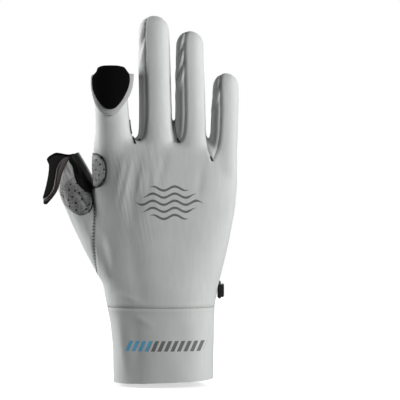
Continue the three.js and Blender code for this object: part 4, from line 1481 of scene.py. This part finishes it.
stitches = {
    "finger": {"Pitch": 0.00088, "Length": 0.0013, "Thread": 0.00014, "Slant": 0.75},
    "thumb": {"Pitch": 0.0021, "Length": 0.0013, "Thread": 0.00044, "Slant": 0.15},
    "wrist": {"Pitch": 0.0019, "Length": 0.0013, "Thread": 0.0002, "Slant": 0.0},
    "palm": {"Pitch": 0.0017, "Length": 0.0013, "Thread": 0.0002, "Slant": 0.0},
    "patch": {"Pitch": 0.0015, "Length": 0.0009, "Thread": 0.00016, "Slant": 0.0},
}
gussetNames = [gusset[0] for gusset in gussets]
hemStart = [(name, "cuff") for name in panelNames if name != "cuff"]
sides = [
    (name, other)
    for name in ("palm_panel", "heel_panel")
    for other in ["back_panel", "thumb_panel"] + gussetNames
]
stitchRows = [
    ("finger_stitches", [(name, "back_panel") for name in gussetNames], "knit", "finger", "midThread", 0.14),
    ("thumb_stitches", [("thumb_panel", "back_panel")], "knit", "thumb", "darkThread", 0.16),
    ("wrist_stitches", hemStart, "knit", "wrist", "midThread", 0.15),
    ("side_stitches", sides, "knit", "palm", "paleThread", 0.15),
    ("heel_stitches", [("palm_panel", "heel_panel")], "perforated", "palm", "darkThread", 0.15),
]
for name, pairs, slot, style, look, lift in stitchRows:
    sizes = dict(stitches[style], Material=finishes[look])
    grown(name, trees["stitch"], runsBetween(*pairs), sizes, lift)
holeSizes = {"Radius": holes["radius"] * mm, "Edge": holes["edge"] * mm, "Material": finishes["piping"]}
grown("hole_edges", trees["hole"], [asRun(holeSpots)], holeSizes, joined=False)


shadeThreads = {"radius": 0.58, "lift": 0.15, "search": 6, "searchStep": 0.3}
# black lines in the finger crotches and along the index's side: thread, and painted shade where the fingers meet
crotchShadeThreads = [
    [(131.2, 120), (131.8, 127), (132.6, 134)], [(133, 137), (134.2, 140.4), (135.6, 143.6)],
    [(138.6, 139.4), (140, 140.2), (141, 139.6)], [(177.6, 138.6), (178.6, 141), (180, 142.4)],
    [(211, 156.5), (211.8, 159), (213, 161)],
]


def shadedThreadAlong(places):
    # a black thread on the cloth where the picture shows it, held inside the outline; in the finger crotches it
    # is also painted shade
    spots = []
    for column, row in places:
        for shift in np.arange(0, shadeThreads["search"], shadeThreads["searchStep"]):
            found = [ontoCloth(column + side * shift, row) for side in (-1, 1)]
            hits = [pair for pair in found if pair[0] is not None]
            if hits:
                spots.append(hits[0][0] + hits[0][1] * shadeThreads["lift"])
                break
    return tubeAlong(rounded(spots, 5), shadeThreads["radius"], 6)


spots, faces = joinParts([facingOut(*shadedThreadAlong(places)) for places in crotchShadeThreads])
addPiece("crotch_threads_and_shade", spots, faces, finishes["piping"])
print("stitches ready")


# patches
patches = {
    "index": {
        "height": 22, "rise": 89, "middle": -46.4, "half": 10.0,
        "wrapFrom": -8.5, "wrapHalf": 8.6, "power": 2.3,
        "lift": 0.15, "thick": 0.85, "piping": 0.55,
    },
    "thumb": {"lift": 0.15, "thick": 0.85, "piping": 0.42},
}
dots = {"radius": 0.55, "edge": 0.11, "seamRadius": 0.34, "seamEdge": 0.08}


def thumbAt(outline):
    along, out = np.array(outline, float).T
    spots = thumbBase + np.outer(along * thumb["length"], thumbAxis) + np.outer(out * thumb["width"], thumbSide)
    return spots[:, [0, 2]]


thumbPatchLine = [
    (0.944, 0.15), (0.9, -0.02), (0.845, -0.18), (0.78, -0.33), (0.72, -0.43), (0.632, -0.43), (0.558, -0.31),
    (0.513, -0.13), (0.513, 0.1), (0.56, 0.27), (0.625, 0.345), (0.675, 0.2), (0.72, 0.13), (0.777, 0.11),
    (0.872, 0.17)
]
stretchLine = [
    (0.96, 0.17), (0.87, 0.17), (0.774, 0.11), (0.72, 0.13), (0.675, 0.19), (0.632, 0.34), (0.66, 0.8),
    (0.96, 0.8)
]


def closedLine(line, steps=5):
    line = np.array(line, float)
    wrapped = np.concatenate([line[-2:], line, line[:3]])
    smooth = rounded(wrapped, steps)
    return smooth[2 * steps: (2 + len(line)) * steps]


def cutPatch(field, near, relaxed=4):
    # the cloth's own faces inside an outline, made finer and evened out
    bm = patchSource.copy()
    bm.faces.ensure_lookup_table()
    centres = facesOf(bm)
    keep = near(centres) & (field(centres) > -3)
    bmesh.ops.delete(bm, geom=[bm.faces[k] for k in np.nonzero(~keep)[0]], context="FACES")
    bmesh.ops.subdivide_edges(bm, edges=bm.edges[:], cuts=1, use_grid_fill=True)
    bm.verts.ensure_lookup_table()
    bm.faces.ensure_lookup_table()
    bm.verts.index_update()
    pairs = np.array([[vert.index for vert in edge.verts] for edge in bm.edges])
    edge = np.zeros(len(bm.verts))
    for item in bm.edges:
        if item.is_boundary:
            edge[item.verts[0].index] = edge[item.verts[1].index] = 1
    points = relax(vertsOf(bm), pairs, relaxed, 1 - edge)
    for vert, place in zip(bm.verts, points):
        vert.co = place * mm
    cutAlong(bm, field(vertsOf(bm)), np.ones(len(bm.faces), bool))
    centres = facesOf(bm)
    bmesh.ops.delete(bm, geom=[bm.faces[k] for k in np.nonzero(field(centres) < 0)[0]], context="FACES")
    bm.normal_update()
    bm.faces.ensure_lookup_table()
    bm.verts.ensure_lookup_table()
    return bm


def borderRun(bm):
    # the longest closed border of an open mesh, in order, from the same place each run
    left = dict.fromkeys(edge for edge in bm.edges if edge.is_boundary)
    best = []
    while left:
        edge = next(iter(left))
        del left[edge]
        run = [edge.verts[0], edge.verts[1]]
        while True:
            following = [other for other in run[-1].link_edges if other in left]
            if not following:
                break
            del left[following[0]]
            run.append(following[0].other_vert(run[-1]))
        if len(run) > len(best):
            best = run
    return np.array([vert.co[:] for vert in best]) / mm, np.array([vert.normal[:] for vert in best])


def patchHoles(bm, spots, radius):
    # holes at chosen places of a patch
    centres = facesOf(bm)
    chosen, places, used = [], [], set()
    for spot in spots:
        order = np.argsort(((centres - spot) ** 2).sum(1))[:6]
        for k in order:
            face = bm.faces[int(k)]
            if len(face.verts) == 4 and used.isdisjoint(face.verts) and np.linalg.norm(centres[k] - spot) < 1.5:
                used.update(face.verts)
                chosen.append(face)
                places.append(centres[k])
                break
    return punch(bm, chosen, places, radius)


def addPatch(name, node, bm, field, style, look, crown=0.9, ripple=None):
    bm.normal_update()
    bm.verts.index_update()
    points = vertsOf(bm)
    ways = np.array([vert.normal[:] for vert in bm.verts])
    inside = np.maximum(field(points), 0)
    raised = style["lift"] + style["thick"] * (1 - np.exp(-(inside / crown) ** 2))
    if ripple is not None:
        raised = raised + ripple(points) * (1 - np.exp(-(inside / 2) ** 2))
    faces = [tuple(vert.index for vert in face.verts) for face in bm.faces]
    spots, walls, sharp = shellFrom(
        points + ways * raised[:, None], faces, ways, np.maximum(raised - 0.02, 0.12)
    )
    # seamNear is 1 at the patch's edge, so the patch's finish paints shade along its rim
    addPiece(name, spots, walls, finishes[look], [node], sharp, np.tile(np.exp(-(inside / 0.8) ** 2), 2))


def indexField(points):
    # about the distance inside the patch's outline, which runs on round the hand's side
    patch = patches["index"]
    x, y, z = points.T
    around = (x - patch["middle"]) / patch["half"] - np.maximum(0, y - patch["wrapFrom"]) / patch["wrapHalf"]
    up = (z - (hand["cuffHeight"] + patch["rise"])) / (patch["height"] / 2)
    return (1 - (np.abs(around) ** patch["power"] + np.abs(up) ** patch["power"]) ** (1 / patch["power"])) * 9


indexMesh = cutPatch(indexField, lambda p: p[:, 0] < palmLeft + palmWidth / 4, 8)
indexBorder = borderRun(indexMesh)
dotPlaces = [
    (97.5, 160), (101, 164.5), (97, 169.5), (104.5, 170), (100, 174.5), (97, 180), (104, 180), (102.5, 157.5)
]


def dotsOnto(places):
    spots = []
    for column, row in places:
        spot, way = ontoCloth(column, row)
        if spot is not None:
            spots.append(spot)
    return spots


def palmDots():
    # staggered columns of dots on the palm side of the patch
    found = []
    centres = facesOf(indexMesh)
    for k, x in enumerate(np.arange(-44.5, -27, 3.2)):
        for z in np.arange(129.5 + 2.4 * (k % 2), 147, 4.8):
            near = centres[np.hypot(centres[:, 0] - x, centres[:, 2] - z) < 0.8]
            if len(near) and near[:, 1].max() > 0:
                spot = near[np.argmax(near[:, 1])]
                if abs(indexField(spot[None])[0]) > 1.6:
                    found.append(spot)
    return found


sideDots = [
    np.array([-47.5, y, z]) for y,
    z in ((-3.5, 131), (-6, 134.5), (-2.5, 137), (-6.5, 140), (-3, 143), (-10, 136.5))
]
indexHoles = patchHoles(indexMesh, dotsOnto(dotPlaces) + sideDots + palmDots(), dots["radius"])
addPatch("index_patch_suede", "index_patch", indexMesh, indexField, patches["index"], "patch")

thumbOutline = closedLine(thumbAt(thumbPatchLine))
thumbField = lambda p: lineField(p, thumbOutline, closed=True)
thumbMesh = cutPatch(thumbField, lambda p: (p[:, 1] < thumbBase[1] + 3) & (p[:, 2] > 90), 6)
thumbBorder = borderRun(thumbMesh)
thumbDots = [
    (70.8, 184.5), (76.5, 184), (69.5, 190.5), (79.5, 193.5), (75, 191), (69, 200), (76, 203), (82.5, 199.5),
    (70, 206), (86.5, 209), (89.5, 205), (64.5, 196), (77, 210), (85, 192), (73, 197)
]
thumbHoles = patchHoles(thumbMesh, dotsOnto(thumbDots), dots["radius"])


def thumbRipple(points):
    # slanting waves in the upper half and one crease in the lower
    x, y, z = points.T
    upper = smoothStep((z - 128) / 8)
    slant = np.sin((0.75 * x + 0.55 * z) * 1.5) * 0.3 * upper
    crease = -0.7 * np.exp(-((x + 0.62 * (z - 116) + 51.5) / 1.3) ** 2) * smoothStep((124 - z) / 4)
    return slant + crease


def stretchRipple(points):
    return 0.25 * np.sin((0.9 * points[:, 0] + 0.5 * points[:, 2]) * 1.1)


def nearStretch(points):
    x, y, z = points.T
    return (y < thumbBase[1] + thumb["depth"] * 0.6) & (z > 110) & (x < palmLeft - 1)


addPatch(
    "thumb_patch_suede", "thumb_patch", thumbMesh, thumbField, patches["thumb"], "thumbPatch",
    ripple=thumbRipple
)
stretchOutline = closedLine(thumbAt(stretchLine))
stretchField = lambda p: lineField(p, stretchOutline, closed=True)
stretchMesh = cutPatch(stretchField, nearStretch, 6)
stretchStyle = dict(patches["thumb"], lift=0.7)
addPatch(
    "thumb_stretch_band", "thumb_stretch_panel", stretchMesh, stretchField, stretchStyle, "stretch",
    crown=1.6, ripple=stretchRipple
)


def pipingAlong(border, lift, where=None):
    spots, ways = evenRun(*border, 0.5, blur=3)
    if where is not None:
        keep = np.nonzero(where(spots))[0]
        cuts = np.nonzero(np.diff(keep) > 1)[0] + 1
        return [(spots[part] + ways[part] * lift) for part in np.split(keep, cuts) if len(part) > 4]
    return [spots + ways * lift]


pipes = []
for line in pipingAlong(indexBorder, 0.3):
    pipes.append(tubeAlong(line[:-1], patches["index"]["piping"], closed=True))
onRight = lambda p: ((p - thumbBase) @ thumbSide > 1.5) & ((p - thumbBase) @ thumbAxis < 0.66 * thumb["length"])
for line in pipingAlong(thumbBorder, 0.3, onRight):
    pipes.append(tubeAlong(line, patches["thumb"]["piping"]))
spots, faces = joinParts(pipes)
addPiece("patch_piping", spots, faces, finishes["piping"])


def insetRun(field, border, inset):
    # a run of points on the patch, `inset` from its border
    spots, ways = evenRun(*border, 0.7, blur=4)
    slope = np.stack([(field(spots + step) - field(spots - step)) / 0.2 for step in 0.1 * np.eye(3)], 1)
    slope -= ways * (slope * ways).sum(1)[:, None]
    slope /= np.linalg.norm(slope, axis=1)[:, None] + 1e-9
    return spots + slope * inset, ways


patchRuns = [insetRun(indexField, indexBorder, 1.1), insetRun(thumbField, thumbBorder, 1.1)]
patchStitches = dict(stitches["patch"], Material=finishes["thread"])
grown("patch_stitches", trees["stitch"], patchRuns, patchStitches, 0.95)
patchSpots = indexHoles + thumbHoles
seamDotPlaces = [
    (62.3, 194.3), (63.2, 191.8), (64.4, 189.2), (65.8, 186.7), (67.6, 184.3), (69.7, 182.2), (71.8, 180.2),
    (73.9, 178.4)
]
seamDots = [pair for pair in [ontoCloth(*place) for place in seamDotPlaces] if pair[0] is not None]
dotSizes = {"Radius": dots["radius"] * mm, "Edge": dots["edge"] * mm, "Material": finishes["hole"]}
seamDotSizes = {"Radius": dots["seamRadius"] * mm, "Edge": dots["seamEdge"] * mm, "Material": finishes["hole"]}
patchTop = patches["index"]["lift"] + patches["index"]["thick"]
backed = trees["backedHole"]
grown("patch_seam_dots", backed, [asRun(seamDots)], seamDotSizes, patchTop + 0.3, joined=False)
grown("patch_hole_edges", backed, [asRun(patchSpots)], dotSizes, patchTop - 0.05, joined=False)
print("patches ready")


# folded-back caps
caps = {
    "index": {
        "thick": 2.6, "hug": 0.2, "rimLook": "rim", "power": 2.6, "shiftOut": 0.0, "insideAt": (1.9, 3.9),
        "rimLeft": [
            (91.2, 74), (90.4, 77.4), (90.4, 84), (90.9, 89.5), (92.4, 96), (94.5, 102.7), (96.7, 107),
            (99.2, 110.8), (102, 113.2), (105.5, 115), (109, 115.9)
        ],
        "rimRight": [
            (133.8, 73), (133.5, 77.4), (132.8, 84), (131.8, 89), (129, 95.8), (124.8, 102.7), (121.8, 107),
            (119.2, 110.7), (116.8, 113), (113.6, 115), (111, 115.9)
        ],
        "insideLeft": [
            (99.6, 66.3), (97.4, 67.5), (96.2, 70.8), (93.6, 73.8), (91.8, 76.4), (91.5, 82), (92.2, 88),
            (93.6, 92.4), (95.6, 97), (98.1, 101), (101.3, 104.9), (104.8, 107.8), (108.4, 109.3)
        ],
        "insideRight": [
            (122.8, 66.2), (124.6, 67.2), (126.8, 70), (128.8, 72.8), (129.6, 76), (129.5, 82), (128, 88),
            (126.3, 92), (123.9, 97), (121.4, 101), (118.3, 105), (115, 107.9), (111.6, 109.2)
        ],
    },
    "thumb": {
        "thick": 3.0, "hug": 0.05, "rimLook": "shadedThumbCap", "power": 2.4, "shiftOut": 1.8, "insideAt": (1.8, 3.7),
        "rimLeft": [
            (52, 157.2), (49.4, 160.5), (48.4, 165), (48.2, 172), (47.2, 180), (45.3, 188), (43.6, 195),
            (42.8, 199.5), (43.2, 202.6), (44.4, 204.2)
        ],
        "rimRight": [
            (70.6, 156.6), (68.8, 159.6), (66.6, 164.4), (63.2, 173), (60.8, 182.2), (58.2, 190.3), (54.6, 196),
            (50.6, 200.6), (47.6, 203), (45.8, 204.2)
        ],
        "insideLeft": [
            (53.4, 155.2), (48.9, 158.8), (48, 164), (48.1, 170.2), (46.9, 178.8), (45, 187.4), (43.4, 194),
            (42.7, 197.4), (43.4, 199)
        ],
        "insideRight": [
            (66.4, 155.8), (63, 158.9), (60.4, 162.8), (57.8, 168.6), (55.9, 178), (54, 187.4), (50.6, 194.1),
            (47.2, 197.6), (45, 199)
        ],
    },
    "turn": math.radians(58), "open": math.radians(42), "slide": 3, "raise": 5.5,
}


def ontoPlane(column, row, place, lift):
    # where a point of the picture lies on a cap's plane
    start, way = lookAlong(column, row)
    origin = place["origin"] + place["out"] * lift
    return start + way * ((origin - start) @ place["out"]) / (way @ place["out"])


def capSheet(left, right, place, low, high, power, hug, inward=0.0, wobble=0.0):
    # a flat pocket between two edges that the picture shows
    lefts, rights = rounded(left, 5), rounded(right, 5)
    rings = []
    angle = np.linspace(0, 2 * np.pi, 52, endpoint=False)
    last = len(lefts) - 1
    for k, (a, b) in enumerate(zip(lefts, rights)):
        a = ontoPlane(a[0] + inward, a[1], place, (low + high) / 2)
        b = ontoPlane(b[0] - inward, b[1], place, (low + high) / 2)
        ruffle = wobble * math.sin(k * 2.4)
        half = max(np.linalg.norm(b - a) / 2 + ruffle, 0.25)
        middle, across = (a + b) / 2, (b - a) / np.linalg.norm(b - a)
        ends = min(1.0, math.sqrt(min((k + 0.4) / 2.5, 1)), math.sqrt(min((last - k + 0.15) / 4, 1)))
        spread = half * bent(np.cos(angle), power)
        body = (high - low) / 2 * bent(np.sin(angle), 2.2) * ends
        rings.append(middle + np.outer(spread, across) + np.outer(body - hug * spread ** 2 / 12, place["out"]))
    return loft(rings)


def indexBack(z):
    finger = fingers[0]
    share = (z - finger["crotch"]) / finger["length"]
    flare = np.interp(share, fingerRows[:, 0], fingerRows[:, 1])
    wide = np.interp(share, fingerRows[:, 0], fingerRows[:, 2])
    y = float(spineY(z)) - finger["depth"] / 2 * wide - finger["flare"] * flare / 2 - 0.3
    return np.array([fingerX(finger, z), y, z])


def unit(way):
    return np.asarray(way) / np.linalg.norm(way)


indexStart = indexBack(fingers[0]["top"])
indexDown = unit(indexBack(fingers[0]["top"] - 36.5) - indexStart)
indexPlace = {"origin": indexStart, "out": unit(np.cross(indexDown, [1, 0, 0]))}
nailWay = np.array([-math.sin(caps["turn"]), -math.cos(caps["turn"]), 0])
nailWay = unit(nailWay - thumbAxis * (nailWay @ thumbAxis))
nailAcross = np.cross(thumbAxis, nailWay)
thumbDown = -thumbAxis * math.cos(caps["open"]) + nailWay * math.sin(caps["open"])
thumbPlace = {
    "origin": thumbCentre(1.0) + nailWay * caps["raise"] + nailAcross * caps["slide"],
    "out": np.cross(thumbDown, nailAcross),
}


# The black lining where it turns out of an opening. `from` and `to` are degrees round the
# finger, `wide` and `deep` shares of its sizes, `above` how far the band passes its end.
collars = {
    "index": {"wide": 0.355, "deep": 0.41, "above": -0.6, "from": 170, "to": 370, "power": 2.2, "shift": 1.1},
    "thumb": {"wide": 0.375, "deep": 0.395, "above": 0.9, "from": 150, "to": 322, "power": 2.1},
    "height": 7.5, "droop": 2.2, "clear": 0.85, "wall": 0.7, "steps": 12, "columns": 44,
}


def indexCentre(level):
    return np.array([fingerX(fingers[0], level) + collars["index"]["shift"], float(spineY(level)), level])


def collar(style, size, centreAt, side, top, dip):
    # a band of lining round the near side of an opening
    steps, columns = collars["steps"], collars["columns"]
    angle = np.radians(np.linspace(style["from"], style["to"], columns))
    wide, deep = size["width"] * style["wide"], size["depth"] * style["deep"]
    front = np.array([0, 1.0, 0])
    points, ways = [], []
    for k in range(steps):
        for c in range(columns):
            share = k / (steps - 1)
            sideways = bent(math.cos(angle[c]), style["power"])
            forwards = bent(math.sin(angle[c]), style["power"])
            droop = collars["droop"] * share * (1 - abs(math.sin(angle[c]))) ** 1.6
            level = top - collars["height"] + collars["height"] * share - droop - dip(sideways * wide)
            out = side * sideways * (wide + collars["clear"]) + front * forwards * (deep + collars["clear"])
            points.append(centreAt(level) + out)
            ways.append(unit(out))
    faces = [
        (r * columns + c, r * columns + c + 1, (r + 1) * columns + c + 1, (r + 1) * columns + c)
        for r in range(steps - 1)
        for c in range(columns - 1)
    ]
    spots, walls, sharp = shellFrom(np.array(points), faces, np.array(ways), collars["wall"])
    return facingOut(spots, walls)


bands = {
    "index": collar(
        collars["index"], fingers[0], indexCentre, np.array([1.0, 0, 0]),
        fingers[0]["top"] + collars["index"]["above"], lambda across: 0),
    "thumb": collar(
        collars["thumb"], thumb, lambda level: thumbCentre(level / thumb["length"]), thumbSide,
        thumb["length"] + collars["thumb"]["above"], thumbDip),
}
for name, place in (("index", indexPlace), ("thumb", thumbPlace)):
    cap = caps[name]
    shape = capSheet(
        cap["rimLeft"], cap["rimRight"], place, 0, cap["thick"], cap["power"], cap["hug"], cap["shiftOut"]
    )
    spots, faces = facingOut(*shape)
    addPiece(name + "_cap_cloth", spots, faces, finishes[cap["rimLook"]], [name + "_cap"])
    inward = cap["shiftOut"] * 0.4
    low, high = cap["insideAt"]
    shape = capSheet(cap["insideLeft"], cap["insideRight"], place, low, high, 3.0, cap["hug"], inward, 0.07)
    spots, faces = joinParts([facingOut(*shape), bands[name]])
    addPiece(name + "_cap_inside", spots, faces, finishes["lining"], [name + "_cap_lining"])

# a lighter line along the thumb cap's inner edge, the same knit with less painted shade than the cap
cap = caps["thumb"]
inward = cap["shiftOut"] * 0.4
edgeLine = rounded(cap["insideRight"][2:] + [cap["insideLeft"][-1]], 6)
edgeSpots = np.array([ontoPlane(column - inward + 0.35, row, thumbPlace, 3.15) for column, row in edgeLine])
spots, faces = facingOut(*tubeAlong(edgeSpots, 0.3, 6))
addPiece("thumb_cap_edge", spots, faces, finishes["shadedThumbEdge"], ["thumb_cap"])
print("caps ready")


# pull strap and tab
pull = {
    "width": 8.5, "thick": 1.2, "length": 14, "rise": 10, "tabLength": 10.5, "tabWidth": 12, "tabThick": 2.0,
    "tabStart": 0.85, "clear": 0.3, "route": [(0, 0), (0.3, 0.08), (0.22, 0.85)]
}


def strapRings(start, stop, width, low, thick, steps, power, rows=40):
    z = hand["cuffHeight"] + pull["rise"]
    widen, shift, thin, bulge = softRows(palmRows, np.array([pull["rise"] / hand["palmHeight"]]), 0.035)
    middle = hand["wristShift"] + (palmShift - hand["wristShift"]) * shift[0]
    handWidth = hand["wristWidth"] + (palmWidth - hand["wristWidth"]) * widen[0]
    root = np.array([middle + handWidth / 2 + pull["clear"], float(spineY(z)), z])
    a, b, c = [root + np.array([out, way, 0]) * pull["length"] for out, way in pull["route"]]
    rings = []
    angle = np.linspace(0, 2 * np.pi, rows, endpoint=False)
    for t in np.linspace(start, stop, steps):
        s = min(t, 1.0)
        spot = (1 - s) ** 2 * a + 2 * s * (1 - s) * b + s ** 2 * c
        way = unit(2 * (1 - s) * (b - a) + 2 * s * (c - b))
        spot = spot + way * (t - s) * pull["length"]
        out = np.array([way[1], -way[0], 0])
        ends = 1.0 if steps > 20 else math.sqrt(max(0.05, 1 - abs(2 * (t - start) / (stop - start) - 1) ** 6))
        body = np.outer(low + thick / 2 + bent(np.sin(angle), power) * thick / 2 * ends, out)
        rings.append(spot + np.outer(bent(np.cos(angle), power) * width / 2 * ends, [0, 0, 1]) + body)
    return loft(rings)


spots, faces = facingOut(*strapRings(0, 1, pull["width"], 0, pull["thick"], 26, 5))
addPiece("pull_strap_webbing", spots, faces, finishes["webbing"], ["pull_strap"])
tabEnd, tabLow = pull["tabStart"] + pull["tabLength"] / pull["length"], -pull["clear"] - pull["tabThick"]
tabRings = strapRings(pull["tabStart"], tabEnd, pull["tabWidth"], tabLow, pull["tabThick"], 18, 4)
spots, faces = facingOut(*tabRings)
addPiece("pull_tab_plate", spots, faces, finishes["tab"], ["pull_tab"])
print("strap ready")


# light and floor
stage = {"floor": -0.0035, "radius": 0.9, "eye": 1.0, "fill": 0.1, "glow": 0.62, "paper": 0.16}


def makeStage():
    angle = np.linspace(0, 2 * np.pi, 64, endpoint=False)
    rim = np.stack([np.cos(angle), np.sin(angle), np.zeros(64)], 1) * stage["radius"] + [0, 0, stage["floor"]]
    floor = makeObject("floor", rim, [tuple(range(64))], 1.0)
    material, wires, shader, place = newMaterial("pale_paper")
    wires.put(
        shader.inputs["Base Color"],
        wires.mix(wires.noise(place, 3.0), (0.88, 0.88, 0.88, 1), (0.92, 0.92, 0.92, 1))
    )
    shader.inputs["Roughness"].default_value = 0.9
    glow = wires.node("ShaderNodeEmission", {"Color": (1, 1, 1, 1), "Strength": stage["glow"]})
    add = wires.node("ShaderNodeAddShader")
    both = wires.node("ShaderNodeMixShader", {0: wires.node("ShaderNodeLightPath").outputs["Is Camera Ray"]})
    paper = wires.node("ShaderNodeBsdfDiffuse", {"Color": (stage["paper"],) * 3 + (1,)})
    out = [node for node in wires.tree.nodes if node.type == "OUTPUT_MATERIAL"][0]
    wires.tree.links.new(shader.outputs[0], add.inputs[0])
    wires.tree.links.new(glow.outputs[0], add.inputs[1])
    wires.tree.links.new(paper.outputs[0], both.inputs[1])
    wires.tree.links.new(add.outputs[0], both.inputs[2])
    wires.tree.links.new(both.outputs[0], out.inputs["Surface"])
    floor.data.materials.append(material)


def makeWorld():
    world = bpy.data.worlds.new("studio")
    world.use_nodes = True
    world.node_tree.nodes.clear()
    w = Wires(world.node_tree)
    seen = w.node("ShaderNodeBackground", {"Color": (1, 1, 1, 1), "Strength": stage["eye"]})
    light = w.node("ShaderNodeBackground", {"Color": (0.96, 0.98, 1, 1), "Strength": stage["fill"]})
    both = w.node("ShaderNodeMixShader", {0: w.node("ShaderNodeLightPath").outputs["Is Camera Ray"]})
    w.tree.links.new(light.outputs[0], both.inputs[1])
    w.tree.links.new(seen.outputs[0], both.inputs[2])
    w.tree.links.new(both.outputs[0], w.node("ShaderNodeOutputWorld").inputs[0])
    bpy.context.scene.world = world


def addLight(name, place, target, size, power):
    data = bpy.data.lights.new(name, "AREA")
    data.shape = "RECTANGLE"
    data.size, data.size_y = size
    data.energy = power
    item = bpy.data.objects.new(name, data)
    item.location = place
    item.rotation_euler = (Vector(target) - Vector(place)).to_track_quat("-Z", "Y").to_euler()
    bpy.context.scene.collection.objects.link(item)


lights = [
    dict(name="key", place=(1.11, -0.6, 0.36), target=(0, 0, 0.12), size=(0.5, 1.0), power=22.5),
    dict(name="left_rim", place=(-1.14, 0.22, 0.26), target=(0, 0, 0.12), size=(0.4, 1.0), power=24),
    dict(name="palm_fill", place=(0.5, 1.3, 0.7), target=(0, 0, 0.12), size=(0.9, 0.9), power=6),
]
makeStage()
makeWorld()
for light in lights:
    addLight(**light)

bpy.data.objects.remove(surface, do_unlink=True)
print("scene ready")
